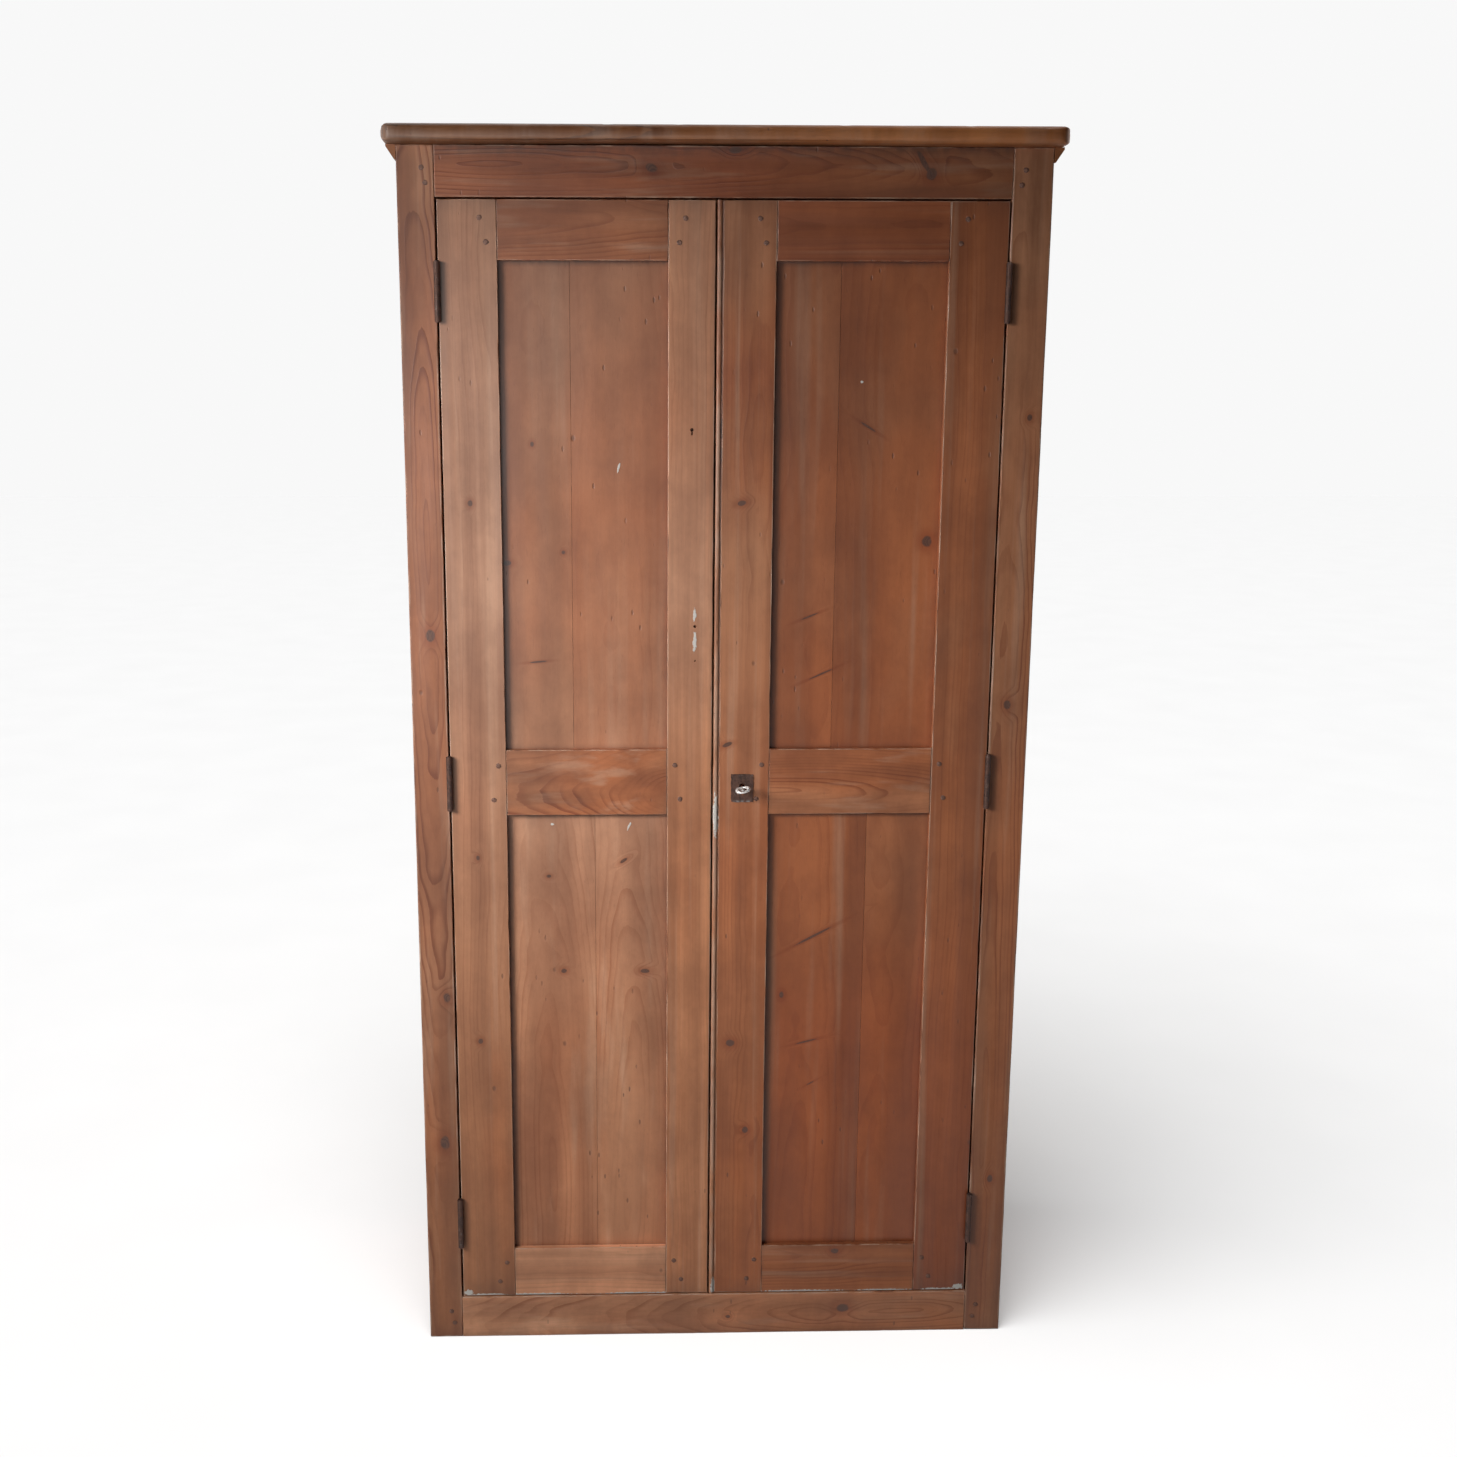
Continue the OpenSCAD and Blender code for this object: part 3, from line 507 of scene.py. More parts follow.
def tube(path, radii, count=14, closed=False):
    """Points and faces of a round bar along a path of points."""
    path = np.array(path, float)
    n = len(path)
    points = []
    for k in range(n):
        before = path[k - 1] if closed or k else path[0]
        after = path[(k + 1) % n] if closed or k < n - 1 else path[-1]
        along = (after - before) / np.linalg.norm(after - before)
        side = np.cross(along, (0.0, 1.0, 0.0) if abs(along[Y]) < 0.9 else (1.0, 0.0, 0.0))
        side /= np.linalg.norm(side)
        up = np.cross(side, along)
        turns = [2 * math.pi * i / count for i in range(count)]
        points += [path[k] + radii[k] * (math.cos(a) * side + math.sin(a) * up) for a in turns]
    faces = ring_faces(n, count, not closed)
    if closed:
        last = (n - 1) * count
        faces += [(last + i, last + (i + 1) % count, (i + 1) % count, i) for i in range(count)]
    return points, faces


def vertices(obj):
    return np.array([v.co for v in obj.data.vertices])


def put(obj, name, values, kind="FLOAT"):
    """Stores a named value at every vertex."""
    attribute = obj.data.attributes.new(name, kind, "POINT")
    field = "value" if kind == "FLOAT" else "vector"
    attribute.data.foreach_set(field, np.asarray(values, np.float32).ravel())


def along_board(rest, lo, hi, run, values):
    """Values spread evenly from one end of a board to the other."""
    values = np.atleast_1d(values)
    return np.interp(rest[:, run], np.linspace(lo[run], hi[run], len(values)), values)


def put_marks(obj, rest, keys, marks):
    """Stores each mark's own coordinates, whose length is 1 on its rim; a key without a mark lies far off."""
    for key, (x, z, half_u, half_v, *turn) in zip(keys, marks):
        angle = math.radians(turn[0] if turn else 0.0)
        dx, dz = rest[:, X] - x * MM, rest[:, Z] - z * MM
        u = (dx * math.cos(angle) + dz * math.sin(angle)) / (half_u * MM)
        v = (dz * math.cos(angle) - dx * math.sin(angle)) / (half_v * MM)
        put(obj, key, np.stack([u, v, np.zeros(len(rest))], axis=1), "FLOAT_VECTOR")
    for key in keys[len(marks):]:
        put(obj, key, np.full((len(rest), 3), FAR_OFF), "FLOAT_VECTOR")


def board_attributes(obj, rest, lo, hi, run, seed, look, knots=(), patches=()):
    """Grain, tone, knot and patch values of a board that runs along axis number run.

    look may hold pith (place across the width, depth below the middle, tilt and curve), light, red and ring
    (one value or several along the board), and fine, which scales the grain across. The light and red values
    are partly the board's own tone and partly painted light: paler low on the left, greyed on the left as a
    painted sheen.
    """
    rng = np.random.default_rng(seed)
    thin = min((a for a in range(3) if a != run), key=lambda a: hi[a] - lo[a])
    wide = 3 - run - thin
    usual_pith = (rng.uniform(-0.5, 0.5), rng.uniform(0.02, 0.07), rng.uniform(-0.02, 0.02), 0.0)
    pith, below, tilt, curve = look.get("pith", usual_pith)
    along, across, depth = (rest[:, a] - (lo[a] + hi[a]) / 2 for a in (run, wide, thin))
    depth = depth + below + tilt * along + curve * along ** 2
    width = hi[wide] - lo[wide]
    grain = np.stack([along + rng.uniform(-40, 40), across - pith * width, depth], axis=1)
    grain[:, 1:] *= look.get("fine", 1.0)
    put(obj, "grain", grain, "FLOAT_VECTOR")
    usual = (rng.uniform(-0.06, 0.06), rng.uniform(0.15, 0.45), rng.uniform(0.45, 0.8))
    values = [look.get(key, usual[i]) for i, key in enumerate(("light", "red", "ring"))]
    tone = [along_board(rest, lo, hi, run, value) for value in values]
    put(obj, "tone", np.stack(tone, axis=1), "FLOAT_VECTOR")
    put_marks(obj, rest, KNOTS, knots)
    put_marks(obj, rest, PATCHES, patches)


def cut(obj, tool):
    """Cuts tool's shape out of obj."""
    modifier = obj.modifiers.new("cut", "BOOLEAN")
    modifier.operation = "DIFFERENCE"
    modifier.solver = "EXACT"
    modifier.object = tool
    graph = bpy.context.evaluated_depsgraph_get()
    graph.update()
    shaped = bpy.data.meshes.new_from_object(obj.evaluated_get(graph))
    obj.modifiers.clear()
    obj.data = shaped
    shaped.set_sharp_from_angle(angle=math.radians(50))
    bpy.data.objects.remove(tool)


def corners(node):
    lo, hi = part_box(node)
    return np.array(lo), np.array(hi)


def hole(x, z, radius, slot, depth):
    """A cutter into the front face: a round hole with a slot reaching slot below its centre (0 for none)."""
    steps = 20
    open_from, arc = -65, 310
    half_slot = 0.42 * radius
    turns = [math.radians(open_from + arc * i / (steps - 1)) for i in range(steps)]
    outline = [(radius * math.cos(a), radius * math.sin(a)) for a in turns]
    if slot:
        outline += [(-half_slot, -slot), (half_slot, -slot)]
    rings = [(x + u, y, z + v) for y in (FACE_Y - 0.01, FACE_Y + depth) for u, v in outline]
    return solid("cutter", rings, ring_faces(2, len(outline)), IRON, False)


def bolt_bore(bolt):
    """A cutter for the hole that a sliding bolt enters."""
    slack, below, above = 0.4 * MM, 30 * MM, 27 * MM
    lo, hi = corners(bolt)
    x, y = (lo[X] + hi[X]) / 2, lo[Y] + BOLT_RADIUS
    radius = BOLT_RADIUS + slack
    points, faces = tube([(x, y, lo[Z] - below), (x, y, hi[Z] + above)], [radius, radius], 20)
    return solid("cutter", points, faces, IRON, False)


def worn_points(local, lo, size, seed, radius, wave, uneven):
    """Moves the points of a square board to soft, nicked arrises and gently waved faces."""
    rest = local + lo
    r = radius * (0.9 + uneven * ripple(rest, seed, 0.09))
    r = np.minimum(np.clip(r, 0.15 * MM, None), 0.45 * size.min())[:, None]
    core = np.clip(local, r, size - r)
    outward = local - core
    length = np.linalg.norm(outward, axis=1, keepdims=True)
    unit = outward / np.where(length > 0, length, 1)
    turned = (np.abs(outward) > 1e-9).sum(axis=1) > 1
    points = np.where(length > 0, core + unit * r, local) + lo
    points -= unit * (0.1 * MM + wave * (0.5 + 0.5 * ripple(rest, seed + 1, 0.35)))[:, None]
    nick = np.clip(ripple(rest, seed + 2, 0.02, 2) - 0.55, 0, 0.6) * 3.5 * MM
    return points - unit * np.where(turned, nick, 0.0)[:, None]


def inward_of(points, lo, hi, axis, end):
    """How far points lie inside a board's low (0) or high (1) end along an axis."""
    return (hi[axis] - points[:, axis]) if end else (points[:, axis] - lo[axis])


def put_wear(obj, points, lo, hi, seed, radius, wear, rubbed, dirty):
    """Stores how pale the arrises are, from wear and painted highlight, and how dark the sides, from grime
    and painted shade.
    """
    reach = 1.25 * radius + 0.3 * MM
    arris = (np.minimum(points - lo, hi - points) < reach).sum(axis=1) > 1
    worn_and_lit = wear * arris * np.clip(0.45 + 0.7 * ripple(points, seed, 0.12), 0, 1)
    # Listed arrises painted pale: wear, and a painted highlight where they catch the light
    for axis, end, amount in rubbed:
        here = arris & (inward_of(points, lo, hi, axis, end) < reach)
        worn_and_lit = np.where(here, np.maximum(worn_and_lit, amount), worn_and_lit)
    put(obj, "edge", worn_and_lit)
    dirt = np.zeros(len(points))
    # Listed sides darkened: grime, and painted shade in recesses and under overhangs
    for axis, end, depth, amount in dirty:
        gap = inward_of(points, lo, hi, axis, end)
        dirt = np.maximum(dirt, amount * np.clip(1 - gap / depth, 0, 1) ** 1.6)
    put(obj, "dirt", dirt)


def worn_board(name, lo, hi, run, seed, material=None, radius=1.1 * MM, cell=(0.010, 0.016), look=None,
               dirty=(), knots=(), patches=(), holes=(), wave=0.2 * MM, uneven=0.55, wear=1.0, rubbed=(),
               reshape=None):
    """A board with soft, uneven arrises.

    run is the grain's axis, cell the mesh spacing along and across it; the dark sides are listed as (axis,
    end, depth, amount), darkened by grime and by painted shade, and the pale arrises as (axis, end, amount),
    pale from wear and painted highlight; reshape moves the points.
    """
    lo, hi = np.array(lo, float), np.array(hi, float)
    size = hi - lo
    bands = (3 * MM, 6 * MM, 12 * MM)
    cells = [cell[0] if a == run else cell[1] for a in range(3)]
    local, quads = box_grid([grid_lines(size[a], radius, cells[a], bands) for a in range(3)])
    points = worn_points(local, lo, size, seed, radius, wave, uneven)
    if reshape:
        points = reshape(points)
    obj = object_from(name, points, quads, material or WAXED)
    for tool in holes:
        cut(obj, tool)
    found = vertices(obj)
    board_attributes(obj, found, lo, hi, run, seed, look or {}, knots, patches)
    put_wear(obj, found, lo, hi, seed + 3, radius, wear, rubbed, dirty)
    return obj


def join(name, pieces):
    """Joins pieces of one kind into one object."""
    for o in bpy.context.selected_objects:
        o.select_set(False)
    for piece in pieces:
        piece.select_set(True)
    bpy.context.view_layer.objects.active = pieces[0]
    bpy.ops.object.join()
    pieces[0].name = name
    pieces[0].data.name = name
    return pieces[0]


def stands_for(obj, body, slot, node):
    """Puts a finished piece in a CAD node's place."""
    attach(obj, body)
    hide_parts(node)


# ---- boards of the case

def board(node, run, seed, material=None, slot="pine_waxed", body="carcass", x=None, **finish):
    """Stands a worn board in a CAD board's place; x narrows it to what shows between its neighbours."""
    lo, hi = corners(node)
    if x:
        lo[X], hi[X] = x
    stands_for(worn_board("worn_" + node, lo, hi, run, seed, material, **finish), body, slot, node)


def make_frame():
    """The face frame: two stiles with the rails between them."""
    inner = (corners("frame_stile_left")[1][X], corners("frame_stile_right")[0][X])
    foot = (Z, 0, 0.03, 0.35)
    board("frame_stile_left", Z, 11, radius=1.6 * MM, dirty=[foot],
          look=dict(pith=(0.05, 0.034, -0.061, 0.0), light=(-0.1, -0.14, -0.28, -0.2),
                    red=(0.1, -0.25, 0.2, 0.15), ring=1.4),
          knots=[(-444, 1175, 7, 10), (-433, 595, 6, 8), (-442, 347, 8, 12)])
    board("frame_stile_right", Z, 12, radius=1.6 * MM, dirty=[foot],
          look=dict(pith=(-0.2, 0.030, 0.030, 0.0), light=(-0.32, -0.1, -0.1, 0.0),
                    red=(0.5, 0.2, 0.0, -0.2), ring=1.1),
          knots=[(442, 1065, 6, 8), (456, 1500, 4, 5), (449, 274, 5, 7)])
    # The top of the top rail is darkened under the cornice: painted shade of its overhang
    board("frame_rail_top", X, 13, x=inner, dirty=[(Z, 1, 0.030, 1.0)],
          look=dict(pith=(0.1, 0.040, 0.09, 0.0), light=(-0.29, -0.36, -0.34), red=(1.2, 1.5, 0.5),
                    ring=1.5),
          knots=[(-108, 1852, 9, 6, -20), (13, 1877, 9, 5), (297, 1845, 8, 9), (285, 1862, 19, 4, -58)])
    # Bottom rail: paler towards its left end, partly painted light; its top arris painted pale, as wear and a
    # painted highlight
    board("frame_rail_bottom", X, 14, x=inner, dirty=[(Z, 0, 0.02, 0.5)], rubbed=[(Z, 1, 1.0)],
          look=dict(pith=(0.0, -0.026, 0.14, 0.0), light=(0.62, 0.32, 0.14), red=(-0.45, -0.25, 0.0),
                    ring=0.8),
          knots=[(211, 43, 11, 8), (20, 30, 4, 3)])


def seams(axis):
    """Grime along both long edges of a plank."""
    return [(axis, 0, 0.006, 1.3), (axis, 1, 0.006, 1.3)]


def make_case():
    """Side and back planks, floor, shelf, cleats and door stop."""
    for i, node in enumerate(("side_plank_left_front", "side_plank_left_rear",
                              "side_plank_right_front", "side_plank_right_rear")):
        board(node, Z, 21 + i, cell=(0.020, 0.03), dirty=[(Z, 0, 0.14, 0.8), *seams(Y)],
              look=dict(light=(-0.04, -0.14)[i % 2], red=(0.1, 0.3)[i % 2], ring=0.9))
    for i in range(4):
        board(f"back_plank_{i + 1}", Z, 31 + i, RAW, "pine_raw", cell=(0.024, 0.03),
              dirty=[(Z, 0, 0.10, 0.8), *seams(X)], radius=1.4 * MM,
              look=dict(light=(-0.06, 0.07, -0.14, 0.02)[i], red=(0.1, 0.3, 0.0, 0.2)[i], ring=0.7))
    board("floor_board", X, 41, RAW, "pine_raw", cell=(0.024, 0.03), holes=[bolt_bore("bottom_bolt")])
    board("hat_shelf", X, 42, RAW, "pine_raw", cell=(0.024, 0.03), look=dict(ring=0.8))
    for i, node in enumerate(("floor_cleat_left", "floor_cleat_right", "shelf_cleat_left",
                              "shelf_cleat_right")):
        board(node, Y, 51 + i, RAW, "pine_raw", cell=(0.024, 0.02))
    board("door_stop", X, 56, RAW, "pine_raw", cell=(0.024, 0.02), holes=[bolt_bore("top_bolt")])


def cornice_shape(points):
    """Rounds the two front corners in plan, and lifts the middle off the rail where the board has warped."""
    lo, hi = corners("cornice_board")
    corner_radius, lift = 20 * MM, 1.8 * MM
    bow = np.clip(1 - ((points[:, X] + 0.06) / 0.36) ** 2, 0, 1)
    points[:, Z] += np.where(points[:, Z] < lo[Z] + 4 * MM, lift * bow, 0.0)
    for side in (-1, 1):
        centre_x = (hi[X] if side > 0 else lo[X]) - side * corner_radius
        centre_y = lo[Y] + corner_radius
        dx, dy = points[:, X] - centre_x, points[:, Y] - centre_y
        outside = (dx * side > 0) & (dy < 0)
        length = np.hypot(dx, dy)
        past = outside & (length > corner_radius)
        scale = np.where(past, corner_radius / np.where(length > 0, length, 1), 1.0)
        points[:, X] = np.where(outside, centre_x + dx * scale, points[:, X])
        points[:, Y] = np.where(outside, centre_y + dy * scale, points[:, Y])
    return points


def make_cornice():
    # Darker towards the left end and paler towards the right
    board("cornice_board", X, 61, CORNICE, "pine_cornice", radius=12.5 * MM, uneven=0.04, wear=0.3,
          reshape=cornice_shape, dirty=[(Z, 1, 0.004, 0.5)],
          look=dict(pith=(0.2, 0.05, 0.004, 0.0), light=(-0.55, -0.23, 0.15, 0.50), red=0.3, ring=1.3))


def marked(side, part):
    """The look, knots and flakes of one part of a door."""
    key = (side, part)
    return dict(look=LOOKS[side][part], knots=MARKS.get(key, ()), patches=FLAKES.get(key, ()))


def make_stiles(side, seed):
    for i, part in enumerate(("hinge_stile", "meeting_stile")):
        key = (side, part)
        grime_and_shade = [(Z, 0, 0.05, 0.5), (Z, 1, 0.03, 0.4)]
        # The left meeting stile's edge by the gap is darkened: painted shade of the gap between the doors,
        # with grime
        if key == ("left", "meeting_stile"):
            grime_and_shade.append((X, 1, 0.005, 0.9))
        # One long arris of each stile painted pale: wear, and a painted highlight where it catches the light
        pale_end = 1 if key == ("right", "meeting_stile") else 0
        board(f"{side}_door_{part}", Z, seed + i, body=f"{side}_door", radius=1.0 * MM, dirty=grime_and_shade,
              holes=[hole(*place) for place in HOLES.get(key, ())], rubbed=[(X, pale_end, 0.9)],
              **marked(side, part))


def make_rails(side, seed, across):
    for i, part in enumerate(("top_rail", "mid_rail", "bottom_rail")):
        board(f"{side}_door_{part}", X, seed + i, body=f"{side}_door", x=across, radius=0.9 * MM,
              # Top arrises of the mid and bottom rails painted pale: wear, and a painted highlight of the
              # light from above
              rubbed=[(Z, 1, 0.9)] if part != "top_rail" else (),
              dirty=[(X, 0, 0.006, 0.35), (X, 1, 0.006, 0.35)], **marked(side, part))


def make_panel(side, part, seed, across, low, high):
    """A panel of two joined boards, darkened where it meets the frame of the door by grime and a painted
    shadow, darkest along its left and top edges.
    """
    node, lap = f"{side}_door_{part}", 3 * MM
    lo, hi = corners(node)
    joints = [across[0] - lap, PANEL_JOINTS[side, part] * MM, across[1] + lap]
    # Painted shadow of the door frame on the recessed panel, darkest along the left and top edges, with some
    # grime
    shadowed_edges = [[(X, 0, lap + 11 * MM, 1.5)], [(X, 1, lap + 8 * MM, 1.0)]]
    strips = []
    for k, edge in enumerate(shadowed_edges):
        grime_and_shade = [(Z, 0, lap + 8 * MM, 0.9), (Z, 1, lap + 12 * MM, 1.4)] + edge
        start, stop = (joints[k], lo[Y], low - lap), (joints[k + 1], hi[Y], high + lap)
        strips.append(worn_board(f"strip_{k}", start, stop, Z, seed + k, PANEL, radius=0.25 * MM,
                                 cell=(0.016, 0.020), wear=0.0, dirty=grime_and_shade, **marked(side, part)))
    stands_for(join("worn_" + node, strips), f"{side}_door", "pine_panel", node)


def make_door(side, seed):
    """One framed and panelled door; side is left or right."""
    hinge, meeting = corners(f"{side}_door_hinge_stile"), corners(f"{side}_door_meeting_stile")
    across = (hinge[1][X], meeting[0][X]) if side == "left" else (meeting[1][X], hinge[0][X])
    make_stiles(side, seed)
    make_rails(side, seed + 3, across)
    top, mid, bottom = (corners(f"{side}_door_{rail}") for rail in ("top_rail", "mid_rail", "bottom_rail"))
    make_panel(side, "upper_panel", seed + 10, across, mid[1][Z], top[0][Z])
    make_panel(side, "lower_panel", seed + 14, across, bottom[1][Z], mid[0][Z])


# Each door part's grain and tone, as board_attributes takes them, from its left or lower end; the high light
# values low on the left door are partly painted light, and red values below 0 on the left partly a painted
# sheen
LOOKS = {
    "left": {"hinge_stile": dict(pith=(0.9, 0.06, 0.008, 0.0), light=(0.0, 0.0, 0.02, -0.12),
                                 red=(0.2, -0.15, -0.65, -0.5), ring=0.45),
             "meeting_stile": dict(pith=(-0.7, 0.05, 0.006, 0.0), ring=0.4,
                                   light=(0.46, 0.28, 0.32, 0.26, 0.58, 0.42, 0.36),
                                   red=(0.0, 0.2, 0.05, 0.0, -0.6, -0.2, -0.4)),
             "mid_rail": dict(pith=(-0.12, -0.057, 0.292, 0.72), light=-0.04, red=0.35, ring=1.5),
             "top_rail": dict(pith=(0.2, 0.03, 0.12, 0.0), light=-0.22, red=0.9, ring=0.7),
             "bottom_rail": dict(pith=(0.2, 0.04, 0.01, 0.0), light=0.85, red=-0.5, ring=0.4),
             "upper_panel": dict(pith=(-0.1, 0.05, 0.006, 0.0), light=(0.06, -0.05), fine=0.5,
                                 red=(-0.3, 0.0, -0.3), ring=0.35),
             "lower_panel": dict(pith=(-0.05, 0.030, 0.10, 0.0), light=(0.24, 0.2, 0.26), fine=0.7,
                                 red=(-0.25, -0.25, -0.7), ring=0.6)},
    "right": {"hinge_stile": dict(pith=(0.8, 0.06, 0.006, 0.0), ring=0.4,
                                  light=(-0.33, -0.2, -0.12, -0.1, -0.08, -0.02, -0.26),
                                  red=(1.55, 1.4, 0.8, 0.6, 1.1)),
              "meeting_stile": dict(pith=(0.3, 0.04, 0.012, 0.0), ring=0.5,
                                    light=(0.1, 0.1, 0.14, 0.12, -0.06, -0.08, -0.3, -0.09),
                                    red=(0.9, 1.1, 0.9, 1.1, 0.7, 0.3, 1.3, 0.1)),
              "mid_rail": dict(pith=(-0.2, 0.02, 0.16, 0.3), light=0.08, red=0.65, ring=1.2),
              "top_rail": dict(pith=(0.1, 0.03, 0.015, 0.0), light=-0.2, red=1.3, ring=0.6),
              "bottom_rail": dict(pith=(0.3, 0.04, 0.05, 0.0), light=-0.16, red=0.4, ring=0.8),
              "upper_panel": dict(pith=(0.2, 0.05, 0.006, 0.0), light=(-0.06, -0.04, -0.22, -0.22),
                                  red=(1.1, 1.0, 0.8, 0.9), ring=0.35, fine=0.5),
              "lower_panel": dict(pith=(-0.2, 0.04, 0.02, 0.0), light=(-0.16, -0.12, -0.06), fine=0.5,
                                  red=(1.3, 1.4, 0.6), ring=0.45)},
}
# Knots and scars: x, z, half width and half height in mm, and some with a turn in degrees
MARKS = {
    ("left", "hinge_stile"): [(-379, 1374, 4, 5), (-381, 521, 4, 5), (-379, 825, 3, 4)],
    ("left", "mid_rail"): [(-64, 932, 5, 4)],
    ("left", "upper_panel"): [(-326, 1284, 6, 4), (-241, 1300, 3, 3), (-286, 1461, 3, 4),
                              (-281, 1133, 14, 1.5, 5)],
    ("left", "lower_panel"): [(-269, 792, 4, 3), (-151, 817, 7, 2.5, 35), (-118, 634, 8, 4),
                              (-247, 635, 5, 4)],
    ("right", "meeting_stile"): [(28, 1374, 7, 4, 15), (9, 1004, 8, 3.5, 20), (18.5, 514, 7, 6),
                                 (44.5, 364, 5, 6)],
    ("right", "bottom_rail"): [(196, 147, 7, 5)],
    ("right", "upper_panel"): [(310, 1316, 8, 9), (217, 1486, 15, 1.6, -32), (134, 1202, 16, 1.5, 22),
                               (152, 1112, 22, 1.5, 24)],
    ("right", "lower_panel"): [(101, 592, 4, 6), (150, 690, 34, 2.0, 28), (142, 512, 18, 1.5, 14),
                               (150, 440, 8, 1.2, 30)],
}
# Flakes of old lime and filler, given as the marks are
FLAKES = {
    ("left", "meeting_stile"): [(-42.5, 1205, 2.6, 10), (-42, 1165, 3.2, 17)],
    ("left", "bottom_rail"): [(-300, 75, 70, 2.6), (-130, 75, 60, 2.2)],
    ("left", "hinge_stile"): [(-409, 80, 8, 6), (-380, 75, 34, 3)],
    ("right", "bottom_rail"): [(140, 75, 70, 2.6), (280, 75, 50, 2.2)],
    ("right", "hinge_stile"): [(403, 80, 8, 6), (370, 75, 30, 3)],
    ("right", "upper_panel"): [(205, 1552, 2, 2)],
    ("left", "upper_panel"): [(-157, 1426, 1.8, 9, -12)],
    ("left", "lower_panel"): [(-263, 876, 3, 2), (-143, 872, 1.8, 7, -25)],
}
# Holes as hole() takes them: three old ones in the left meeting stile, and the keyhole in the right one
HOLES = {
    ("left", "meeting_stile"): [(-48 * MM, 1482 * MM, 2.6 * MM, 8 * MM, 12 * MM),
                                (-42 * MM, 1188 * MM, 2.3 * MM, 0, 8 * MM),
                                (-41.5 * MM, 1135 * MM, 1.3 * MM, 0, 8 * MM)],
    ("right", "meeting_stile"): [(KEYHOLE_X, (PLATE_LO.z + PLATE_HI.z) / 2 + KEYHOLE_RISE,
                                  4.5 * MM, 13 * MM, 15 * MM)],
}
# Where a panel's two boards meet, in mm
PANEL_JOINTS = {("left", "upper_panel"): -228, ("left", "lower_panel"): -196,
                ("right", "upper_panel"): 171, ("right", "lower_panel"): 230}


# ---- pegs, bead, lock and key

def loose_parts(node):
    """Lowest and highest corners of each separate solid in a CAD node."""
    mesh = bmesh.new()
    mesh.from_mesh(frame["nodes"][node].data)
    left = set(mesh.verts)
    found = []
    while left:
        grow = [left.pop()]
        group = list(grow)
        while grow:
            vert = grow.pop()
            for edge in vert.link_edges:
                other = edge.other_vert(vert)
                if other in left:
                    left.remove(other)
                    grow.append(other)
                    group.append(other)
        spots = np.array([v.co for v in group])
        found.append((spots.min(axis=0), spots.max(axis=0)))
    mesh.free()
    return sorted(found, key=lambda pair: tuple(np.round(pair[0], 5)))


def make_pegs(node, body, seed):
    """Hand-cut pegs: uneven, a little proud of the wood, with domed ends."""
    rng = np.random.default_rng(seed)
    count = 14
    pieces = []
    for lo, hi in loose_parts(node):
        centre, radius = (lo + hi) / 2, (hi[X] - lo[X]) / 2
        wobble = 1 + rng.normal(0, 0.05, count)
        squash = rng.uniform(0.9, 1.06)
        proud = rng.uniform(0.05, 0.55) * MM
        profile = ((lo[Y] - proud, 0.45), (lo[Y] - 0.6 * proud, 0.82), (lo[Y] + 0.2 * MM, 1.0),
                   (hi[Y] - 0.4 * MM, 1.0), (hi[Y] - 0.05 * MM, 0.8))
        points = []
        for y, scale in profile:
            for i in range(count):
                a = 2 * math.pi * i / count
                r = radius * scale * min(wobble[i], 1.04)
                points.append((centre[X] + r * math.cos(a), y, centre[Z] + r * squash * math.sin(a)))
        pieces.append(solid("peg", points, ring_faces(len(profile), count), PEG))
    stands_for(join("cut_" + node, pieces), body, "peg_wood", node)


def bead_section(lo, hi, radius):
    """The bead's outline in plan: a flat back, a flattened nose and the shallow quirk beside it."""
    nose = lo[X] + radius
    section = [(hi[X], hi[Y]), (lo[X], hi[Y])]
    for degrees in range(180, 361, 15):
        a = math.radians(degrees)
        section.append((nose + radius * math.cos(a), FACE_Y + BEAD_PROUD * radius * math.sin(a)))
    quirk = nose + radius + 0.2 * MM
    return section + [(quirk, FACE_Y + 0.9 * MM), (hi[X] - 0.6 * MM, FACE_Y + 0.5 * MM),
                      (hi[X], FACE_Y + 0.2 * MM)]


def make_bead():
    """The worn, round-nosed bead down the right door's meeting edge."""
    lo, hi = corners("meeting_bead")
    radius = 3.5 * MM
    section = bead_section(lo, hi, radius)
    heights = np.linspace(lo[Z], hi[Z], 260)
    points = np.array([(x, y, z) for z in heights for x, y in section])
    points[:, Y] = np.maximum(points[:, Y], lo[Y])
    nick = 0.9 * MM * np.clip(ripple(points, 72, 0.03, 2) - 0.6, 0, None)
    dent = 0.25 * MM * ripple(points, 71, 0.06) + nick
    front = points[:, Y] < FACE_Y + 0.5 * MM
    points[:, Y] += np.where(front, np.abs(dent), 0.0)
    faces = ring_faces(len(heights), len(section))
    obj = solid("worn_meeting_bead", points, faces, WAXED)
    obj.data.set_sharp_from_angle(angle=math.radians(40))
    found = vertices(obj)
    flakes = [(-8.0, 894, 5.0, 36), (-5, 88, 5, 14)]
    marks = [(-3, 1485, 4, 16), (-3, 1445, 3, 12)]
    board_attributes(obj, found, lo, hi, Z, 70, dict(light=0.04, red=0.1, ring=0.4), marks, flakes)
    # The proud nose painted pale: wear, and a painted highlight along the bead
    put(obj, "edge", np.clip((FACE_Y - found[:, Y]) / (BEAD_PROUD * radius), 0, 1) * 0.8)
    past_nose = found[:, X] - lo[X] - radius
    # Darker in the quirk and the flat beside the nose
    put(obj, "dirt", np.clip((past_nose - 0.6 * radius) / (0.6 * radius), 0, 1) * 0.3)
    stands_for(obj, "right_door", "pine_waxed", "meeting_bead")


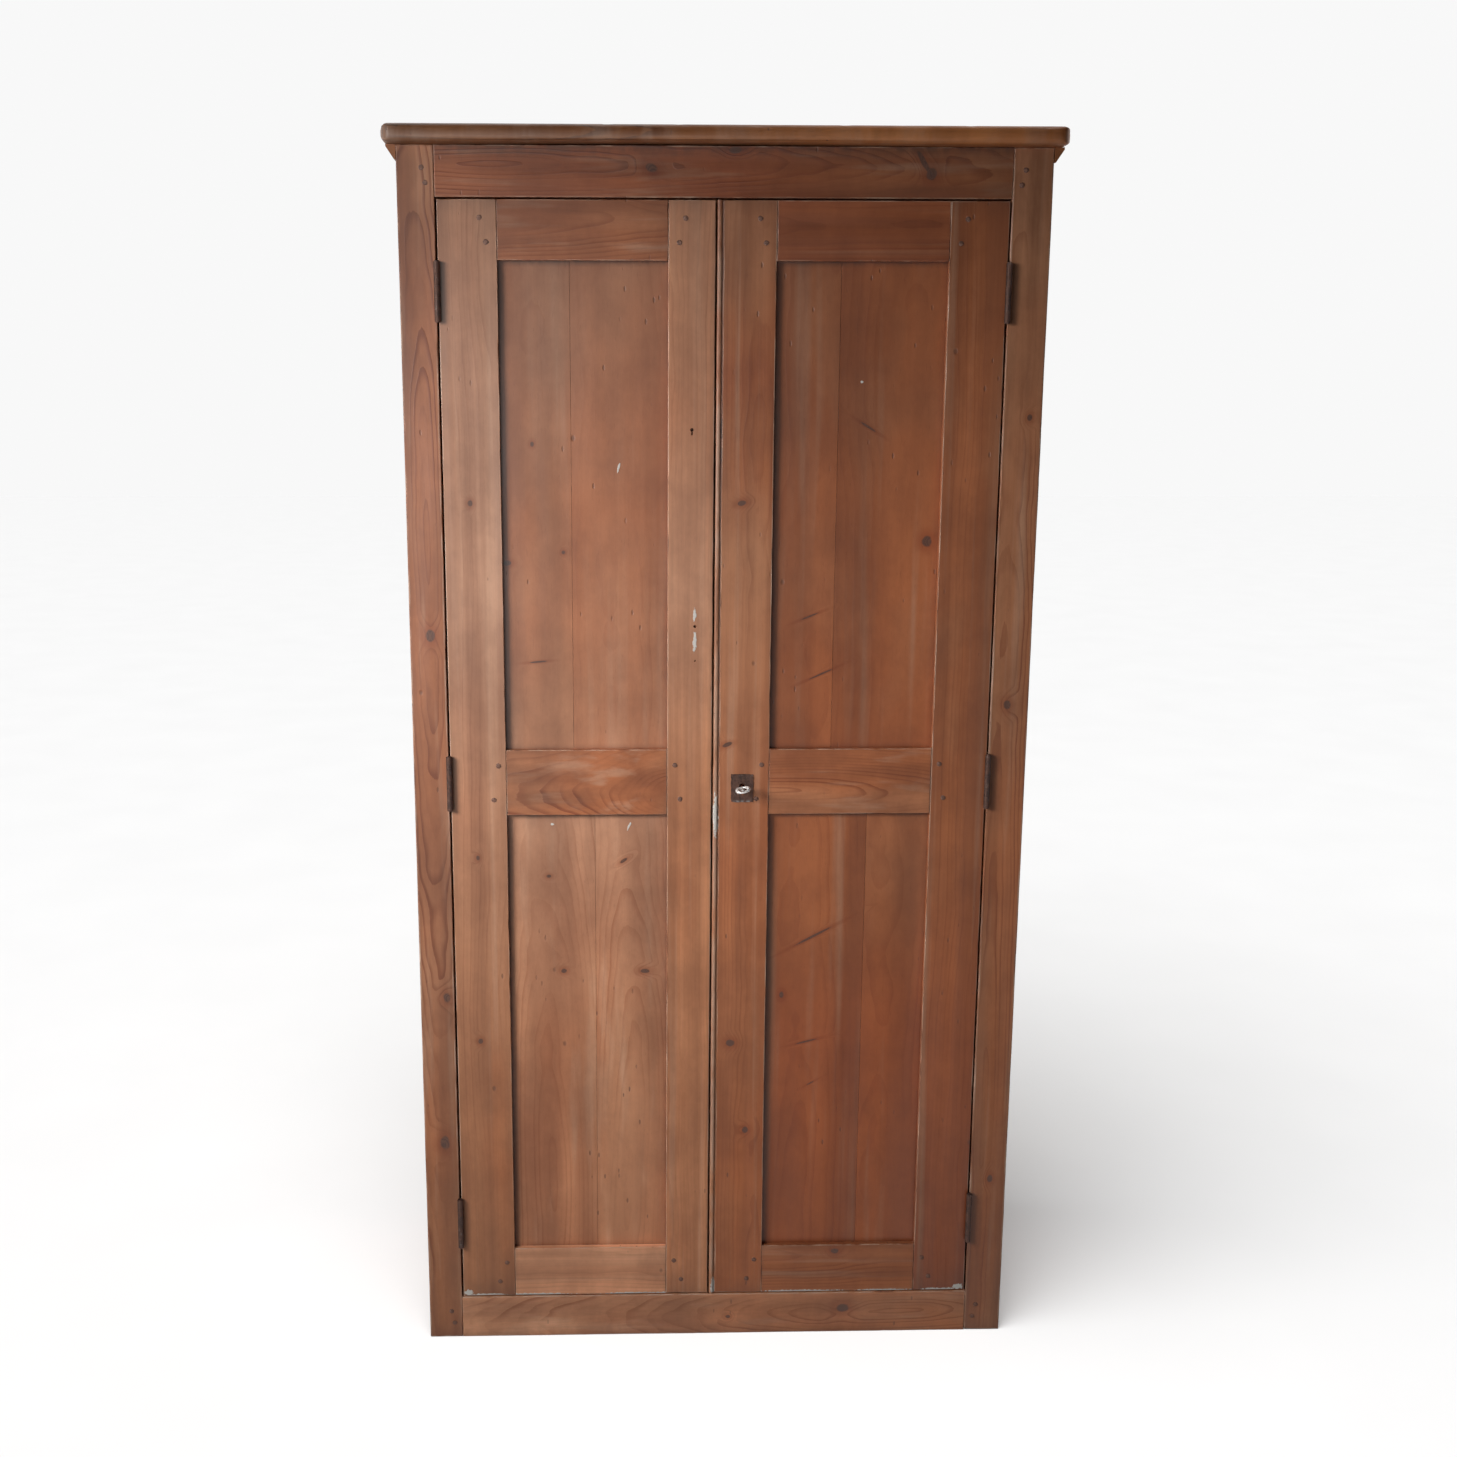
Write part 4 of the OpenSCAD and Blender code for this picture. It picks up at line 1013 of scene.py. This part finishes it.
def plate_grid(lo, hi, columns, rows):
    """Points and faces of a thin box, its front and back each a grid of columns by rows points."""
    centre, half = (lo + hi) / 2, (hi - lo) / 2
    across = [centre[X] + half[X] * a for a in np.linspace(-1, 1, columns)]
    upward = [centre[Z] + half[Z] * b for b in np.linspace(-1, 1, rows)]
    points = np.array([(x, y, z) for y in (lo[Y], hi[Y]) for z in upward for x in across])
    n = columns * rows
    faces = []
    for j in range(rows - 1):
        for i in range(columns - 1):
            a = j * columns + i
            b, c, d = a + 1, a + columns + 1, a + columns
            faces += [(a, b, c, d), (d + n, c + n, b + n, a + n)]
    rim = list(range(columns)) + [j * columns + columns - 1 for j in range(1, rows)]
    rim += [n - 1 - i for i in range(1, columns)] + [(rows - 1 - j) * columns for j in range(1, rows - 1)]
    faces += [(a, b, b + n, a + n) for a, b in zip(rim, rim[1:] + rim[:1])]
    return points, faces


def make_lock_plate():
    """A hand-cut iron plate with a keyhole and an eaten lower edge, painted pale as bare metal with a painted
    highlight.
    """
    lo, hi = corners("lock_plate")
    centre, half = (lo + hi) / 2, (hi - lo) / 2
    points, faces = plate_grid(lo, hi, 37, 47)
    at = np.stack([(points[:, axis] - centre[axis]) / half[axis] for axis in (X, Z)], axis=1)
    near_rim = np.clip(np.abs(at).max(axis=1), 0, 1) ** 6
    eaten = 1.1 * MM * np.abs(ripple(points * [1, 0, 1], 81, 0.016)) * near_rim
    for column, axis in enumerate((X, Z)):
        points[:, axis] -= eaten * np.sign(at[:, column]) * (np.abs(at[:, column]) > 0.9)
    pitted = 0.18 * MM * ripple(points, 82, 0.007) - 0.1 * MM
    points[:, Y] += np.where(points[:, Y] < centre[Y], np.abs(pitted), 0.0)
    obj = solid("cut_lock_plate", points, faces, IRON)
    cut(obj, hole(KEYHOLE_X, centre[Z] + KEYHOLE_RISE, 4.7 * MM, 14 * MM, 20 * MM))
    found = vertices(obj)
    # Pale lower edge: bare worn iron with a painted highlight
    low_edge = np.clip(1 - (found[:, Z] - lo[Z]) / (4.5 * MM), 0, 1)
    put(obj, "edge", low_edge * np.clip(0.45 + ripple(found, 83, 0.009), 0, 1))
    stands_for(obj, "right_door", "iron", "lock_plate")


def key_bow(axis_x, axis_z, front):
    """Path and radii of the two-lobed ring, which stands a little askew."""
    steps, bar = 40, 2.3 * MM
    half_wide, half_deep, raised = 8.8 * MM, 7.2 * MM, 2.2 * MM
    rise, skew = math.radians(19), math.radians(10)
    ring_y = front + half_deep + bar
    path = []
    for i in range(steps):
        a = 2 * math.pi * i / steps
        u, v = half_wide * math.cos(a), half_deep * math.sin(a)
        path.append((axis_x + u * math.cos(skew), ring_y + v * math.cos(rise),
                     axis_z + raised + u * math.sin(skew) + v * math.sin(rise)))
    radii = [bar * (1.0 + 0.35 * math.cos(4 * math.pi * i / steps)) for i in range(steps)]
    return path, radii


def make_key():
    """The key: its ring bow, and the shank with its collar."""
    joints = frame["record"]["behaviour"]["joints"]
    axis_x, _, axis_z = next(joint["pos_m"] for joint in joints if joint["name"] == "key_turn")
    front = KEY_LO.y
    shank = [front + 17 * MM, front + 19 * MM, front + 20.5 * MM, front + 22 * MM, front + 24 * MM, KEY_HI.y]
    radii = [radius * MM for radius in (1.7, 2.6, 3.1, 2.4, 2.0, 2.0)]
    bow = tube(*key_bow(axis_x, axis_z, front), 12, True)
    stem = tube([(axis_x, y, axis_z) for y in shank], radii, 16)
    pieces = [solid("key_part", points, faces, STEEL) for points, faces in (bow, stem)]
    stands_for(join("worn_key", pieces), "key", "key_steel", "key")


def dress(material, *nodes):
    """Gives carried-over CAD nodes their finish."""
    for node in nodes:
        mesh = frame["nodes"][node].data
        mesh.materials.clear()
        mesh.materials.append(material)


def dress_carried_nodes():
    """Finishes of the hinges, screws, bolts, lock, rod and mouldings, which keep their CAD shapes."""
    dress(IRON, "frame_hinge_leaves", "hinge_pins", "frame_screws", "left_door_hinge_leaves",
          "left_door_screws", "right_door_hinge_leaves", "right_door_screws", "bolt_guides", "lock_keeper",
          "top_bolt", "bottom_bolt", "lock_case", "lock_bolt")
    dress(RAW_X, "hanging_rod", "rod_socket_left", "rod_socket_right")
    dress(CORNICE_Y, "cornice_moulding_left", "cornice_moulding_right")


# ---- stage, light and camera

def make_stage():
    """A pale floor with its own light, which stays pale and throws no light back at the armoire."""
    half = 30
    ground = [(-half, -half, 0), (half, -half, 0), (half, half, 0), (-half, half, 0)]
    floor = object_from("studio_floor", ground, [(0, 1, 2, 3)], studio_paint(), False)
    floor.visible_diffuse = False
    only_floor = bpy.data.collections.new("only_floor")
    only_floor.objects.link(floor)
    BESIDES_FLOOR.objects.link(floor)
    BESIDES_FLOOR.collection_objects[0].light_linking.link_state = "EXCLUDE"
    sun = bpy.data.lights.new("floor_light", "SUN")
    sun.energy = 4.4
    sun.angle = math.radians(60)
    light = bpy.data.objects.new("floor_light", sun)
    light.rotation_euler = (math.radians(25), math.radians(-15), 0)
    light.light_linking.receiver_collection = only_floor
    in_scene(light)


def studio_paint():
    n = Net("studio_paint")
    mottle = n.noise(n.place(), (3.0, 3.0, 3.0), 3.0)
    colour = n.mix(mottle, (0.80, 0.80, 0.80), (0.83, 0.83, 0.83))
    return n.finish(colour, n.step(mottle, 0.0, 1.0, 0.8, 0.9), n.bump(mottle, 0.0005, 0.1))


def area_light(name, place, target, size, power, spread=180, gloss_only=False):
    """A soft rectangular light of some watts at place, aimed at target, that leaves the floor alone."""
    data = bpy.data.lights.new(name, "AREA")
    data.shape = "RECTANGLE"
    data.size, data.size_y = size
    data.energy = power
    data.spread = math.radians(spread)
    light = bpy.data.objects.new(name, data)
    light.location = place
    light.rotation_euler = (Vector(target) - Vector(place)).to_track_quat("-Z", "Y").to_euler()
    light.visible_camera = False
    light.visible_diffuse = not gloss_only
    light.light_linking.receiver_collection = BESIDES_FLOOR
    in_scene(light)


def make_lights():
    """Window light from the upper left, a broad sheen on the left door, and fills for the other sides."""
    area_light("window", (-2.0, -1.6, 1.9), (-0.25, -0.2, 1.0), (0.9, 0.9), 9.1, spread=65)
    area_light("low", (-1.3, -1.7, 0.30), (-0.35, -0.2, 0.12), (0.9, 0.4), 0.4, spread=70)
    area_light("room", (-0.95, -1.75, 1.15), (-0.30, 0.0, 1.10), (0.8, 1.1), 4.4)
    area_light("sheen", (-0.66, -1.6, 1.42), (-0.45, 0.0, 1.40), (0.9, 0.9), 6.5, gloss_only=True)
    area_light("left_fill", (-3.2, 1.2, 1.6), (0.0, 0.1, 0.9), (1.6, 2.2), 34.0)
    area_light("right_fill", (3.2, 1.2, 1.6), (0.0, 0.1, 0.9), (1.6, 2.2), 34.0)
    area_light("rear_fill", (0.6, 3.6, 2.0), (0.0, 0.0, 0.9), (3.0, 2.2), 75.0)
    area_light("top_fill", (0.0, 1.0, 4.0), (0.0, 0.1, 1.9), (2.5, 2.0), 40.0)
    world = bpy.data.worlds.new("studio")
    bpy.context.scene.world = world
    world.use_nodes = True
    world.node_tree.nodes["Background"].inputs["Color"].default_value = (0.94, 0.94, 0.94, 1.0)
    world.cycles_visibility.diffuse = False
    world.cycles_visibility.glossy = False
    bpy.context.scene.view_settings.view_transform = "Standard"


def make_camera():
    """The camera that took the photo, from a fit to the lines of the frame and the doors."""
    data = bpy.data.cameras.new("camera")
    data.sensor_width = 36.0
    data.lens = 38.30
    data.shift_x = 0.0515
    camera = bpy.data.objects.new("camera", data)
    yaw, pitch, roll = math.radians(1.4246), math.radians(11.1431), math.radians(0.0413)
    forward = Vector((math.sin(yaw) * math.cos(pitch), math.cos(yaw) * math.cos(pitch), -math.sin(pitch)))
    right = Vector((math.cos(yaw), -math.sin(yaw), 0.0))
    up = right.cross(forward)
    turned_right = right * math.cos(roll) + up * math.sin(roll)
    turned_up = up * math.cos(roll) - right * math.sin(roll)
    camera.matrix_world = Matrix((turned_right, turned_up, -forward)).transposed().to_4x4()
    camera.location = (-0.16317, -2.54709, 1.49171)
    in_scene(camera)
    bpy.context.scene.camera = camera


make_camera()
make_stage()
make_lights()
make_frame()
make_case()
make_cornice()
make_door("left", 100)
make_door("right", 200)
make_bead()
make_pegs("frame_pegs", "carcass", 301)
make_pegs("left_door_pegs", "left_door", 302)
make_pegs("right_door_pegs", "right_door", 303)
make_lock_plate()
make_key()
dress_carried_nodes()
